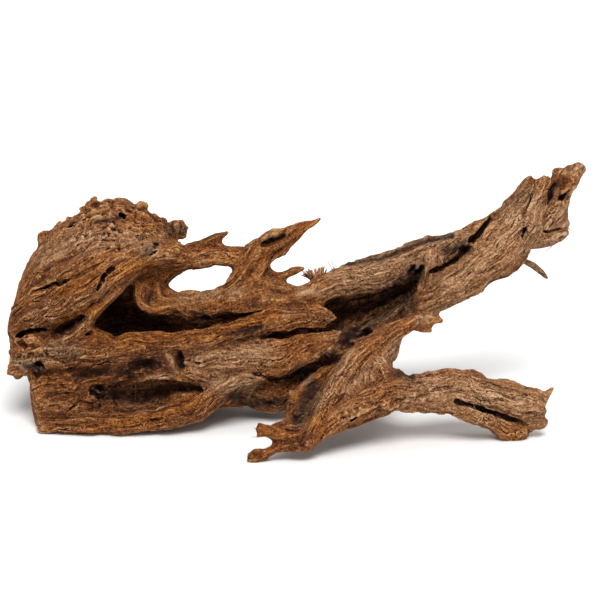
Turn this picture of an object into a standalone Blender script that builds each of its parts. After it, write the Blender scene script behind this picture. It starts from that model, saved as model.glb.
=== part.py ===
"""Mangrove root: one grown piece of driftwood, with a thick hollow stock, a long arm and a leg.

The root is drawn as strands of grain on a front-view sheet 600 mm square, x to the right and y down.
A strand is a list of points: x, y, depth behind the sheet, half width across the sheet and half depth,
all in mm. Each strand is lofted into a ribbed tube. The tubes are fused, their valleys are filled a
little, and pits and cracks drawn in the same way are cut out. The sheet leans back over the ground.
"""

import math
import random

import bmesh
import bpy
import numpy as np

MM = 0.001

# The sheet and how it stands over the ground
SHEET_CENTRE = (300.0, 300.0)
SHEET_TILT = math.radians(18.0)
SIGHT_DISTANCE = 2500.0
RIGHT = np.array((1.0, 0.0, 0.0))
RISE = np.array((0.0, math.sin(SHEET_TILT), math.cos(SHEET_TILT)))
SIGHT = np.array((0.0, math.cos(SHEET_TILT), -math.sin(SHEET_TILT)))
ORIGIN_ON_SHEET = np.array((-1.4, -5.6, -125.4))

# How finely the strands are lofted, fused and thinned out
STATION_STEP = 4.0
SIDES = 28
VOXEL = 2.0
FINE_VOXEL = 1.5
FILLET = 2.5
SMOOTH_ROUNDS = 2
TRIANGLES = 11400
GROUND_SNAP = 0.4

# The roughness of a strand: ribs round it, and a width that wanders along it
RIBS = 4
RIB_COUNTS = (2, 7)
RIB_HEIGHT = 0.16
RIB_TWIST = 0.012
WANDER_HEIGHT = 0.12
WANDER_LENGTH = 42.0
THINNEST = 0.8
CAP_RINGS = 3
CAP_OPEN = 0.6
CAP_REACH = 7.0

STOCK = {
    "core": [
        (34, 304, 44, 14, 26), (60, 282, 44, 26, 38), (90, 262, 44, 32, 44),
        (122, 247, 44, 28, 42), (152, 247, 42, 15, 28),
    ],
    "brow": [
        (19, 327, 18, 9, 16), (45, 316, 0, 15, 24), (80, 298, -8, 18, 26),
        (112, 277, -8, 16, 24), (145, 257, 0, 14, 24), (176, 254, 8, 12, 20),
    ],
    "brow_upper": [
        (22, 310, 18, 9, 20), (48, 295, 2, 14, 24), (82, 273, -4, 17, 28),
        (122, 254, 2, 15, 28), (162, 249, 8, 10, 22),
    ],
    "flank": [
        (25, 298, 26, 8, 20), (45, 272, 16, 16, 30), (70, 255, 10, 22, 34),
        (98, 240, 14, 26, 36), (132, 238, 20, 24, 34), (162, 243, 22, 15, 26),
    ],
    "crest": [
        (48, 246, 34, 9, 14), (64, 238, 34, 13, 24), (88, 228, 34, 14, 30),
        (118, 218, 34, 17, 30), (144, 226, 34, 14, 28),
    ],
    "left_edge": [
        (42, 250, 32, 6, 14), (33, 268, 34, 6, 18), (23, 290, 34, 6, 20), (19, 308, 30, 6, 22),
        (15, 324, 28, 6, 24), (22, 345, 30, 10, 26), (22, 362, 30, 10, 24),
    ],
    "cheek": [
        (26, 340, 14, 8, 20), (60, 342, 2, 8, 22), (84, 328, -4, 7, 20), (94, 314, -6, 5, 16),
        (106, 300, -8, 5, 14), (120, 286, -8, 5, 12),
    ],
    "cheek_foot": [(84, 330, -4, 6, 16), (96, 334, -6, 5, 14), (108, 338, -8, 5, 14)],
}
KNOBS = {
    "shoulder_knob": [(44, 239, 30, 9, 10), (48, 237, 30, 8, 10)],
    "horn": [(82, 228, 30, 10, 10), (89, 214, 28, 8, 8), (93, 204, 27, 5.5, 6)],
    "top_knob_a": [(105, 212, 26, 10, 10), (122, 210, 26, 9.5, 10)],
    "top_knob_b": [(130, 213, 28, 9, 10), (141, 211, 28, 6.5, 8)],
    "top_knob_c": [(150, 221, 30, 8, 8), (159, 223, 30, 6.5, 8)],
    "neck": [(158, 232, 24, 8, 9), (174, 232, 20, 6, 8)],
    "ball": [(175, 230, 18, 8.5, 9), (180, 229.5, 18, 9, 9)],
    "waist_tip": [(22, 343, 14, 6, 8), (13, 341, 14, 4, 5)],
    "waist_a": [(20, 354, 16, 9, 12), (36, 350, 4, 10, 14)],
    "waist_b": [(17, 367, 18, 8, 12), (34, 366, 6, 9, 14)],
    "waist_c": [(18, 374, 20, 4, 6), (17.5, 377, 20, 3, 4)],
}
LOG = {
    "rim": [
        (28, 356, 14, 15, 22), (60, 355, 0, 16, 28), (110, 350, -8, 16, 26), (160, 344, -10, 13, 22),
        (200, 341, -10, 12, 20), (226, 334, -9, 13, 19), (260, 324, -8, 13, 17), (300, 317, -6, 10.5, 14),
        (322, 316, -5, 10, 10), (333, 318, -4, 5, 7),
    ],
    "plank": [
        (190, 362, -2, 14, 20), (235, 358, -8, 17, 20), (280, 356, -10, 17, 15), (306, 347, -12, 15, 9),
        (326, 340, -12, 11, 6), (337, 337, -12, 7.5, 4),
    ],
    "plank_edge": [
        (285, 371, -14, 5, 6), (303, 361, -15, 5, 5), (318, 355, -15, 5, 4), (330, 347, -14, 4, 4),
        (336, 342, -13, 3, 3),
    ],
    "plank_top": [(300, 337, -13, 5, 7), (318, 333.5, -14, 4, 5), (338.5, 332.5, -13, 2.4, 3.5)],
    "plank_foot": [(262, 366, -8, 9, 12), (278, 370, -12, 8, 8), (296, 364, -13, 6, 6)],
    "barrel": [
        (42, 402, 34, 24, 40), (80, 399, 32, 30, 44), (140, 391, 32, 30, 44), (200, 382, 30, 27, 40),
        (250, 382, 32, 26, 34), (280, 388, 34, 25, 28), (320, 364, 40, 20, 20), (362, 330, 44, 18, 14),
        (404, 300, 44, 16, 12),
    ],
    "lip": [
        (44, 423, 6, 10, 18), (95, 423, -4, 12, 18), (140, 421, -6, 11.5, 18), (180, 412, -8, 15, 18),
        (205, 400, -6, 15, 18), (232, 381, -6, 14, 18), (262, 372, -4, 10, 16),
    ],
    "log_front": [
        (40, 388, 10, 14, 16), (70, 384, -2, 15, 18), (100, 375, -4, 8, 14), (150, 366, -8, 8, 14),
        (190, 372, -8, 10, 14), (230, 384, -2, 14, 16),
    ],
    "log_end": [(37, 382, 20, 8, 12), (38, 400, 16, 8, 14), (42, 422, 16, 8, 14)],
    "splinter": [(147, 377.5, -16, 1.6, 2), (160, 376, -17, 3, 4), (178, 375, -14, 5, 6)],
    "hook": [
        (156, 354, -14, 3, 4), (165, 351, -20, 3.6, 4), (171, 357, -22, 4, 4), (175, 367, -19, 4.4, 5),
        (180, 380, -14, 4.6, 6), (185, 393, -12, 4.6, 6),
    ],
    "hook_knob": [(163, 358, -14, 5, 5), (168, 368, -15, 5.5, 5)],
    "lip_spike_a": [(155, 410, -14, 5, 5), (157, 403, -16, 1.4, 1.6)],
    "lip_spike_b": [(167, 407, -16, 5, 5), (166, 399, -18, 1.4, 1.6)],
}
BACK = {
    "back_wall": [
        (40, 330, 66, 26, 22), (90, 305, 84, 42, 18), (135, 300, 88, 32, 16), (170, 314, 82, 16, 16),
        (210, 318, 70, 16, 16), (260, 310, 50, 14, 16), (300, 302, 30, 12, 14),
    ],
    "back_crest": [(60, 264, 60, 20, 28), (112, 248, 68, 26, 28), (160, 251, 56, 13, 20)],
    "back_log": [
        (46, 390, 64, 22, 26), (120, 376, 80, 24, 24), (200, 366, 70, 24, 24), (260, 368, 52, 20, 20),
    ],
    "back_mid": [
        (44, 364, 72, 22, 24), (110, 348, 90, 28, 18), (180, 340, 84, 24, 16), (240, 334, 60, 20, 16),
        (290, 326, 34, 14, 14),
    ],
    "back_rib_a": [
        (66, 248, 76, 9, 14), (92, 276, 102, 11, 14), (124, 312, 104, 12, 13), (162, 338, 98, 10, 12),
        (214, 348, 82, 9, 12), (270, 342, 56, 8, 12),
    ],
    "back_rib_b": [
        (36, 300, 74, 10, 16), (62, 336, 94, 12, 18), (104, 362, 104, 12, 14), (168, 376, 96, 10, 14),
        (232, 374, 74, 8, 14),
    ],
    "back_rib_c": [
        (130, 238, 72, 9, 12), (146, 276, 98, 10, 12), (182, 311, 94, 9, 12), (236, 322, 76, 9, 12),
        (300, 318, 48, 8, 12), (340, 302, 44, 8, 10),
    ],
    "back_knob": [(88, 300, 106, 13, 10), (104, 292, 108, 10, 9)],
    "back_stub": [(150, 360, 96, 10, 14), (166, 352, 112, 8, 8), (172, 348, 120, 6, 6)],
}
CENTRE = {
    "bridge": [
        (150, 260, 14, 12, 16), (172, 259, 12, 11, 13), (198, 258, 9, 11, 11), (225, 258, 7, 9.5, 10),
        (252, 260, 4, 10, 10),
    ],
    "bridge_spur": [
        (190, 250, 10, 8, 6), (206, 244, 9, 6.5, 5), (220, 236, 8, 4.5, 4), (229, 231.5, 7, 2, 2),
    ],
    "bridge_jag": [(200, 249, 9, 6, 6), (216, 246, 8, 6, 5), (226, 249, 8, 4, 5), (243, 251, 6, 3.5, 5)],
    "antler": [
        (214, 302, 6, 11, 12), (233, 287, 3, 9.5, 13), (251, 266, 0, 12, 12), (268, 248, -3, 14, 10),
        (285, 238, -5, 10.5, 7), (300, 229, -6, 7, 5), (313, 223, -7, 5.5, 4), (319, 219, -7, 3, 3),
    ],
    "antler_side": [(238, 294, 8, 12, 12), (256, 279, 6, 11, 11), (266, 269, 6, 6, 8)],
    "antler_thorn": [(264, 274, 6, 5, 5), (273, 271, 6, 2.4, 2.4)],
    "twig": [
        (256, 288, 6, 9, 9), (272, 280, 5, 6.5, 7), (284, 275, 4, 4.2, 5), (296, 270, 3, 3.6, 4),
        (304, 268.5, 2, 3.2, 3.2),
    ],
    "curl_root": [(150, 262, 20, 8, 10), (158, 274, 24, 6, 8), (157, 284, 20, 5, 7)],
    "curl": [
        (152, 278, 20, 5, 7), (141, 286, 10, 4.5, 6), (138.5, 297, 4, 4.5, 6), (145, 307, 1, 5, 6),
        (158, 311, 0, 4.8, 7), (176, 308, 0, 5, 7), (190, 311, 0, 7, 8), (206, 315, 0, 8.5, 9),
        (230, 311, 0, 9, 10), (252, 305, 0, 9, 11),
    ],
    "curl_rib": [
        (160, 281, 24, 5, 6), (152, 289, 18, 4.5, 5), (151, 298, 14, 4.5, 5), (159, 304, 10, 5, 6),
        (174, 302, 8, 5, 7), (192, 303, 5, 7, 8),
    ],
    "bowl": [
        (160, 290, 28, 7, 7), (170, 299, 20, 8, 7), (190, 300, 11, 11, 9), (212, 299, 6, 11.5, 11),
        (238, 292, 3, 15, 13), (258, 288, 2, 17, 14), (278, 293, 4, 12, 14), (302, 298, 4, 10, 14),
    ],
    "window_jamb": [
        (182, 268, 18, 4.5, 7), (170, 275, 22, 5, 7), (162, 285, 24, 5, 7), (172, 295, 20, 5, 7),
    ],
    "heart": [(206, 312, 6, 9, 12), (236, 304, 4, 12, 14), (270, 299, 4, 12, 15), (302, 300, 4, 11, 15)],
    "grey_knot": [(304, 298, 0, 8, 10), (314, 288, -2, 7, 9)],
    "brush": [(308, 293, 28, 5, 8), (314, 282, 26, 5, 7), (318, 275, 25, 3.6, 5)],
}
ARM = {
    "top_ridge": [
        (262, 299, 4, 11, 14), (300, 296, 5, 10, 16), (340, 284, 6, 13.5, 17), (380, 276, 10, 13.5, 17),
        (418, 262, 14, 13, 15), (450, 246, 16, 11, 13), (478, 229, 20, 7, 10), (498, 215, 22, 6, 9),
    ],
    "back_ridge": [
        (304, 294, 24, 8, 12), (330, 280, 32, 7, 12), (362, 267, 34, 8.5, 13), (400, 257, 36, 9, 13),
        (430, 245, 36, 9, 13), (464, 237, 34, 7, 12), (490, 223, 30, 6, 10),
    ],
    "under_ridge": [
        (420, 304, 10, 12, 14), (440, 293, 4, 18, 20), (462, 280, 4, 19, 22), (482, 264, 8, 23, 24),
        (500, 248, 12, 25, 25), (516, 230, 16, 23, 23), (529, 207, 20, 18, 19), (538, 192, 24, 12, 14),
        (545, 181, 27, 7, 9),
    ],
    "under_edge": [
        (428, 312, 12, 6, 12), (450, 301, 18, 6, 16), (474, 286, 20, 6, 18), (494, 270, 22, 6, 18),
        (506, 256, 24, 6, 16),
    ],
    "arm_web": [(430, 258, 6, 6, 8), (428, 272, 1, 5, 8), (425, 284, 0, 8, 9), (422, 298, 6, 11, 11)],
    "arm_burr": [(470, 246, 0, 4, 5), (478, 248, -6, 6, 7), (485, 250, -8, 4, 5)],
    "prong": [(505, 215, 24, 8, 10), (515, 200, 26, 8, 9), (523, 187, 27, 5, 6), (530.5, 177, 28, 2.6, 3.5)],
    "arm_nub": [(424, 241, 32, 5, 6), (428.5, 235, 31, 2.2, 3)],
    "back_plate": [
        (304, 322, 44, 12, 10), (330, 322, 54, 18, 9), (358, 310, 62, 22, 9), (394, 292, 64, 23, 9),
        (430, 272, 54, 18, 10), (470, 250, 38, 14, 12),
    ],
    "slope": [(332, 352, 16, 9, 9), (360, 338, 20, 8, 9), (390, 319, 22, 8, 10), (412, 306, 18, 7, 10)],
    "nub_a": [(408, 324, 2, 8, 8), (430, 320, 2, 5.5, 6), (441, 321.5, 3, 3.8, 4)],
    "nub_b": [(410, 325, 2, 6, 7), (424, 328, 2, 5, 5), (430, 330, 2, 3.4, 3.5)],
    "nub_c": [(418, 316, 6, 8, 10), (434, 313, 8, 5, 8)],
}
ARM_END = {
    "fork": [
        (524, 240, 34, 9, 12), (545, 222, 42, 13, 13), (557, 206, 46, 12, 12), (563, 190, 48, 9, 10),
        (570, 177, 49, 9, 10), (580, 168.5, 50, 8, 8),
    ],
    "fork_knob": [(556, 184, 44, 7, 8), (561, 176, 46, 7, 8)],
    "fork_horn": [(557, 180, 46, 5, 6), (555, 171, 46, 3.6, 4)],
    "fork_bump": [(567, 173, 48, 5, 6), (568.5, 165.5, 48, 2.6, 3)],
    "fork_web": [(538, 216, 40, 8, 6), (548, 202, 42, 7, 6), (554, 190, 44, 5, 6)],
    "fan_a": [(522, 244, 32, 6, 9), (545, 238, 40, 7, 9), (562, 233, 44, 5.5, 6)],
    "fan_b": [(535, 227, 36, 7, 8), (555, 226, 42, 6, 7), (566, 224, 44, 3.6, 4)],
    "fan_tip": [(540, 222, 38, 6, 7), (558, 218, 43, 5, 5), (567.5, 216, 44, 2, 3)],
    "fan_c": [(524, 247, 34, 3.5, 6), (540, 246.5, 40, 2.8, 5), (554, 244, 44, 2, 3)],
    "thorn": [(556, 205, 44, 6, 6), (565, 204, 46, 2.8, 3)],
    "jag": [(560, 196, 46, 6, 6), (568.5, 194, 47, 3, 4)],
    "tail_twig": [
        (514, 252, 24, 4, 5), (524, 261, 26, 3.8, 4), (534, 266, 28, 3.8, 4), (542, 273, 29, 3.2, 3.4),
        (548, 279, 30, 2.2, 2.2),
    ],
}
LEG = {
    "shin": [
        (412, 322, 2, 8, 12), (386, 338, -8, 12, 15), (362, 358, -22, 15, 17), (342, 384, -42, 15, 17),
        (326, 410, -60, 13, 15), (316, 430, -72, 10, 12), (308, 443, -80, 7, 8),
    ],
    "calf": [
        (334, 367, -14, 2.5, 4), (319, 376, -24, 4.4, 5), (304, 387, -36, 5, 5), (295, 398, -46, 5, 5),
        (290, 409, -54, 4.4, 5), (288, 418, -60, 3.5, 5),
    ],
    "calf_thorn": [(296, 394, -44, 5, 5), (288, 391, -46, 1.6, 2)],
    "hollow_side": [
        (338, 372, 0, 9, 7), (322, 391, -18, 14, 7), (308, 408, -38, 15, 7), (295, 421, -54, 10, 7),
    ],
    "toe_a": [
        (314, 424, -68, 8, 9), (300, 434, -76, 7, 8), (285, 435, -80, 6.5, 7), (270, 433, -82, 6, 6),
        (262, 431, -82, 6.5, 6),
    ],
    "toe_b": [
        (306, 443, -78, 6.5, 8), (290, 446.5, -80, 5.4, 7), (275, 449, -79, 5, 6), (263, 456, -77, 6.4, 7),
        (252, 458, -77, 6, 7),
    ],
    "toe_c": [(318, 434, -78, 8, 8), (309, 446, -82, 6, 6), (298, 450, -84, 2.6, 4)],
    "web": [
        (388, 341, -6, 13, 14), (374, 366, -24, 16.5, 14), (362, 398, -46, 18, 14), (344, 418, -64, 11, 11),
        (330, 431, -74, 6, 6),
    ],
    "heel_link": [
        (388, 350, -14, 6, 8), (386, 365, -26, 6, 9), (400, 378, -38, 6, 9), (426, 381, -44, 5, 8),
    ],
    "heel_fill": [(378, 364, -28, 10, 12), (386, 380, -40, 10, 12), (398, 392, -48, 10, 12)],
    "heel": [(328, 433, -74, 4, 6), (350, 423, -66, 6, 7), (374, 414, -56, 7, 8), (396, 405, -50, 5, 8)],
}
LIMB = {
    "limb_top": [
        (322, 434, -78, 6, 8), (342, 416, -72, 10, 12), (370, 402, -62, 12.5, 14), (400, 393, -52, 16, 16),
        (430, 391, -44, 18, 17), (460, 389, -36, 19, 18), (490, 397, -30, 16, 17), (516, 403, -25, 18, 16),
        (538, 408, -22, 17, 13),
    ],
    "limb_low": [
        (396, 401, -50, 10, 12), (424, 402, -46, 11, 12), (456, 406, -38, 10.5, 13), (488, 418, -28, 11, 14),
        (508, 430.5, -20, 11, 12), (523, 431, -20, 8.5, 9),
    ],
    "limb_back": [(440, 380, -34, 9, 10), (462, 378, -30, 9, 10), (478, 378.5, -28, 8, 9)],
    "limb_lobe": [(468, 376, -32, 7, 7), (483, 378, -30, 3.2, 4)],
    "limb_crest": [(490, 390, -26, 9, 10), (510, 388, -24, 8, 9), (528, 394, -22, 6, 8)],
    "limb_spike": [(542, 400, -22, 7, 6), (549, 392, -21, 4, 3.6), (552.5, 387.5, -20, 2.4, 2.4)],
    "limb_corner": [(528, 420, -20, 9, 9), (543, 423, -20, 6.5, 6)],
}
HOLLOWS = {
    "log_pit": [
        (95, 391, -16, 6, 12), (112, 396, -14, 12, 18), (133, 397, -12, 16, 24), (156, 393, -12, 14, 24),
        (175, 388, -14, 9, 20), (191, 389, -16, 4, 14), (201, 391, -18, 1.6, 10),
    ],
    "log_hole": [(92, 389, -8, 3, 10), (98, 391, 2, 4, 18), (106, 391.5, 0, 3, 12)],
    "cave_tail": [
        (150, 323, -2, 6, 20), (172, 323, -6, 6.5, 20), (196, 323, -8, 5.5, 18), (222, 319.5, -8, 4, 15),
        (244, 315.5, -8, 2.6, 13), (262, 311.5, -8, 1.4, 11),
    ],
    "antler_pit": [(262, 244, -14, 4, 11), (272, 240, -15, 5.5, 12), (284, 235, -14, 3, 7)],
    "cheek_slot": [(50, 334, -16, 2.5, 12), (64, 327, -20, 4.5, 24), (82, 316, -22, 3, 18)],
    "brow_crack": [
        (30, 296, -2, 1.2, 8), (44, 288.5, -20, 1.6, 8), (58, 284, -26, 1.6, 8), (71, 279, -30, 1.2, 8),
    ],
    "brow_split": [(97, 291, -34, 1.2, 8), (104, 276, -34, 1.6, 8), (114, 266, -30, 1.2, 8)],
    "waist_groove": [(14, 338, 0, 1.8, 10), (28, 332, -8, 2.4, 12), (44, 330, -18, 2.4, 10)],
    "seam": [
        (56, 375, -22, 1.2, 10), (80, 367, -26, 1.4, 10), (108, 362, -30, 1.4, 10), (124, 363, -28, 1.2, 8),
    ],
    "rim_shade": [(134, 366, -22, 6, 8), (146, 362, -22, 7, 9), (155, 365, -22, 5, 8)],
    "hook_pit": [(180, 352, -22, 3, 8), (182, 365, -22, 3, 8)],
    "lens_pit": [(188, 361, -24, 1.6, 8), (199, 363.5, -24, 1.8, 8)],
    "curl_crack": [(252, 373, -26, 1.6, 7), (266, 377, -26, 2.2, 8), (284, 379, -26, 2.2, 8)],
    "tongue_slot": [
        (262, 338.5, -18, 1.6, 10), (275, 335, -18, 3.8, 13), (290, 334.5, -17, 2.4, 12),
        (300, 331, -16, 2.6, 8), (330, 330, -14, 1.4, 7),
    ],
    "arm_trough": [
        (334, 324, -12, 3, 14), (347, 323, -2, 9, 20), (362, 314, 4, 13, 26), (382, 304, 8, 13, 28),
        (400, 297, 10, 8, 24), (411, 290, 8, 5, 18), (416, 278, 2, 4.5, 16), (421, 267, 0, 3, 14),
    ],
    "fang_gap": [(336, 345, -4, 3, 14), (348, 338, -2, 4, 16), (368, 332, 2, 4, 16)],
    "arm_pit": [(409, 275, -4, 3, 10), (414, 268, -4, 3, 10)],
    "arm_slot": [
        (430, 272, -4, 1.6, 14), (444, 266.5, -2, 3.4, 18), (458, 258, 0, 3.6, 18), (469, 247, 2, 2, 14),
    ],
    "arm_slot_end": [
        (470, 243, 6, 2, 14), (481, 231, 8, 4, 16), (489, 220, 10, 3, 15), (495, 212.5, 12, 1.6, 14),
    ],
    "arm_dish": [(446, 250, -10, 4, 6), (460, 245, -8, 4, 6)],
    "fold_dish": [(342, 290, -18, 5, 6), (356, 288, -18, 6, 6), (368, 287, -16, 4, 5)],
    "end_pit": [(522, 238, -6, 1.6, 7), (525, 230, -4, 1.6, 7)],
    "fork_gap": [(543, 206, 30, 2, 12), (549, 196, 34, 3.6, 14), (554, 185, 36, 2.6, 12)],
    "fan_crack": [(541, 231.5, 30, 1.2, 8), (551, 231, 32, 1.4, 8), (561, 228, 36, 1.4, 8)],
    "jag_pit": [(562, 197, 38, 2.2, 6), (568, 192, 40, 1.8, 6)],
    "limb_crack": [
        (456, 401, -54, 1.2, 8), (480, 409, -46, 1.8, 9), (508, 418, -38, 1.8, 9), (530, 427, -34, 1.4, 8),
    ],
    "web_crack": [(356, 378, -42, 1.2, 6), (366, 370, -38, 1.4, 6), (382, 361, -30, 1.2, 6)],
    "web_pit": [(352, 419, -78, 2, 7), (362, 410, -70, 2, 7)],
    "heel_pit": [(398, 372, -52, 3, 6), (410, 376, -54, 4, 7)],
    "crest_pit_a": [(94, 223, 0, 3.6, 8), (98, 221, 0, 3.6, 8)],
    "crest_pit_b": [(121, 215, 4, 3.2, 8), (125, 218, 4, 3.2, 8)],
    "crest_pit_c": [(106, 219, 0, 2.6, 8), (109, 219, 0, 2.6, 8)],
    "crest_pit_d": [(137, 208, 16, 2.4, 6), (139, 209.5, 16, 2.4, 6)],
    "crest_pit_e": [(83, 232, -6, 2.2, 7), (86, 231, -6, 2.2, 7)],
    "shoulder_pit": [(58, 231, 8, 1.8, 7), (65, 228, 6, 2.4, 8), (72, 226, 6, 1.8, 7)],
    "brow_pit_a": [(153, 243, -14, 2, 7), (157, 245, -14, 2, 7)],
    "brow_pit_b": [(142, 255, -22, 1.6, 6), (147, 256, -22, 1.6, 6)],
    "knot_pit": [(86, 305, -36, 1.8, 7), (89, 306, -36, 1.8, 7)],
    "cheek_pit": [(86, 335, -22, 2, 8), (93, 332, -22, 2, 8)],
    "waist_pit_a": [(19, 344, -2, 2, 7), (26, 345.5, -6, 2.6, 7)],
    "waist_pit_b": [(45, 351, -26, 1.8, 7), (47, 355, -26, 1.8, 7)],
    "waist_pit_c": [(21, 363, -6, 2, 7), (25, 363, -6, 2, 7)],
    "waist_pit_d": [(37, 364, -18, 2.6, 7), (42, 366, -18, 2.6, 7)],
}


def placed(x, y, depth):
    """Points of the sheet, moved back along the line of sight, in metres over the ground."""
    spread = 1 + depth / SIGHT_DISTANCE
    across = (x - SHEET_CENTRE[0]) * spread
    up = (SHEET_CENTRE[1] - y) * spread
    return (np.multiply.outer(across, RIGHT) + np.multiply.outer(up, RISE)
            + np.multiply.outer(depth, SIGHT) - ORIGIN_ON_SHEET) * MM


def along(points, step):
    """Stations on a smooth curve through the points: Catmull-Rom on every column."""
    rows = np.array(points, float)
    rows = np.vstack([rows[0] * 2 - rows[1], rows, rows[-1] * 2 - rows[-2]])
    stations = []
    for before, start, end, after in zip(rows, rows[1:], rows[2:], rows[3:]):
        count = max(2, round(np.linalg.norm((end - start)[:3]) / step))
        for t in np.arange(count) / count:
            stations.append(
                0.5 * (2 * start + (end - before) * t + (2 * before - 5 * start + 4 * end - after) * t**2
                       + (3 * start - before - 3 * end + after) * t**3)
            )
    stations.append(rows[-2])
    return np.array(stations)


def unit(vectors):
    return vectors / np.linalg.norm(vectors, axis=-1, keepdims=True)


def wander(draw, run):
    """A smooth wavering between -1 and 1 along the run, in mm."""
    waves = [(draw.uniform(0.6, 1.8) * math.tau / WANDER_LENGTH, draw.uniform(0, math.tau)) for _ in range(3)]
    return sum(np.sin(pace * run + phase) for pace, phase in waves) / len(waves)


def ribbing(draw, angles, run):
    """Round ribs with sharp valleys between them, between -1 and 1, for every ring and side."""
    ribs = [(draw.randint(*RIB_COUNTS), draw.uniform(0, math.tau), draw.uniform(-RIB_TWIST, RIB_TWIST))
            for _ in range(RIBS)]
    waves = [np.abs(np.cos(n / 2 * angles[None, :] + phase + n / 2 * twist * run[:, None]))
             for n, phase, twist in ribs]
    return (sum(waves) / len(waves) - 0.64) * 2


def strand(mesh, name, points, rough):
    """Lofts one strand into the bmesh: ribbed oval rings along its curve, with rounded ends."""
    draw = random.Random(name)
    stations = along(points, STATION_STEP)
    centres = placed(*stations[:, :3].T)
    run = np.append(0, np.cumsum(np.linalg.norm(np.diff(centres, axis=0), axis=1))) / MM
    half = np.maximum(stations[:, 3], THINNEST) * MM * (1 + rough * WANDER_HEIGHT * wander(draw, run))
    deep = np.maximum(stations[:, 4], THINNEST) * MM * (1 + rough * WANDER_HEIGHT * wander(draw, run))
    ahead = unit(np.gradient(centres, axis=0))
    across = unit(np.cross(SIGHT, ahead))
    through = np.cross(ahead, across)
    angles = np.arange(SIDES) * math.tau / SIDES
    relief = 1 + rough * RIB_HEIGHT * ribbing(draw, angles, run)
    last = len(centres) - 1
    turns = (np.arange(CAP_RINGS) + 1) / (CAP_RINGS + CAP_OPEN) * math.pi / 2
    caps = [(math.sin(a), math.cos(a)) for a in turns]
    plan = [(0, -shift, share) for shift, share in reversed(caps)]
    plan += [(i, 0, 1) for i in range(last + 1)]
    plan += [(last, shift, share) for shift, share in caps]
    rings = []
    for i, shift, share in plan:
        reach = shift * min(half[i], deep[i], CAP_REACH * MM)
        spokes = np.outer(np.cos(angles) * half[i], across[i])
        spokes += np.outer(np.sin(angles) * deep[i], through[i])
        ring = centres[i] + ahead[i] * reach + spokes * (share * relief[i])[:, None]
        rings.append([mesh.verts.new(point) for point in ring])
    for lower, upper in zip(rings, rings[1:]):
        for k in range(SIDES):
            n = (k + 1) % SIDES
            mesh.faces.new((lower[k], lower[n], upper[n], upper[k]))
    mesh.faces.new(list(reversed(rings[0])))
    mesh.faces.new(rings[-1])


def strands_object(name, groups, rough):
    mesh = bmesh.new()
    for group in groups:
        for strand_name, points in group.items():
            strand(mesh, strand_name, points, rough)
    bmesh.ops.recalc_face_normals(mesh, faces=mesh.faces)
    data = bpy.data.meshes.new(name)
    mesh.to_mesh(data)
    mesh.free()
    obj = bpy.data.objects.new(name, data)
    bpy.context.scene.collection.objects.link(obj)
    return obj


def settle(obj):
    """Replaces an object's mesh with its modified one, and drops its modifiers."""
    bpy.context.view_layer.update()
    graph = bpy.context.evaluated_depsgraph_get()
    obj.data = bpy.data.meshes.new_from_object(obj.evaluated_get(graph))
    obj.modifiers.clear()


def remesh(obj, voxel):
    cells = obj.modifiers.new("fuse", "REMESH")
    cells.mode = "VOXEL"
    cells.voxel_size = voxel * MM
    settle(obj)


def swell(obj, height):
    swelling = obj.modifiers.new("swell", "DISPLACE")
    swelling.mid_level = 0
    swelling.strength = height * MM
    settle(obj)


def fuse(obj):
    """Makes one body of the strands, and fills the valleys between them as wood grows over them."""
    remesh(obj, VOXEL)
    swell(obj, FILLET)
    remesh(obj, VOXEL)
    swell(obj, -FILLET)
    soften(obj)


def soften(obj):
    remesh(obj, FINE_VOXEL)
    smooth = obj.modifiers.new("soften", "SMOOTH")
    smooth.factor = 0.5
    smooth.iterations = SMOOTH_ROUNDS
    settle(obj)


def hollow_out(obj, cutter):
    cut = obj.modifiers.new("hollow", "BOOLEAN")
    cut.operation = "DIFFERENCE"
    cut.solver = "MANIFOLD"
    cut.object = cutter
    settle(obj)
    bpy.data.objects.remove(cutter)


def keep_largest(obj):
    """Drops loose scraps and fills sealed hollows, which fusing leaves as shells of their own."""
    mesh = bmesh.new()
    mesh.from_mesh(obj.data)
    left = set(mesh.verts)
    shells = []
    while left:
        shell = {left.pop()}
        edge = list(shell)
        while edge:
            near = {e.other_vert(v) for v in edge for e in v.link_edges} - shell
            shell |= near
            edge = list(near)
        left -= shell
        shells.append(shell)
    largest = max(shells, key=len)
    bmesh.ops.delete(mesh, geom=[v for v in mesh.verts if v not in largest], context="VERTS")
    mesh.to_mesh(obj.data)
    mesh.free()


def thin_out(obj):
    """Fewer triangles, with the spots that rest on the ground kept flat."""
    count = sum(len(p.vertices) - 2 for p in obj.data.polygons)
    decimate = obj.modifiers.new("thin", "DECIMATE")
    decimate.ratio = TRIANGLES / count
    settle(obj)
    for vert in obj.data.vertices:
        if vert.co.z < GROUND_SNAP * MM:
            vert.co.z = 0


def ground_block():
    """A block whose top is the ground: it cuts flat spots where the root rests."""
    side = 1.0
    bpy.ops.mesh.primitive_cube_add(size=side, location=(0, 0, -side / 2))
    return bpy.context.object


def wood():
    material = bpy.data.materials.new("driftwood")
    material.use_nodes = True
    shader = material.node_tree.nodes["Principled BSDF"]
    shader.inputs["Base Color"].default_value = (0.30, 0.16, 0.075, 1)
    shader.inputs["Roughness"].default_value = 0.8
    shader.inputs["Metallic"].default_value = 0.0
    return material


def build():
    for obj in list(bpy.data.objects):
        bpy.data.objects.remove(obj)
    root = strands_object("mangrove_root", [STOCK, KNOBS, LOG, BACK, CENTRE, ARM, ARM_END, LEG, LIMB], 1)
    fuse(root)
    hollow_out(root, strands_object("hollows", [HOLLOWS], 1))
    soften(root)
    hollow_out(root, ground_block())
    keep_largest(root)
    thin_out(root)
    root.data.materials.clear()
    root.data.materials.append(wood())
    return root


build()
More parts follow.
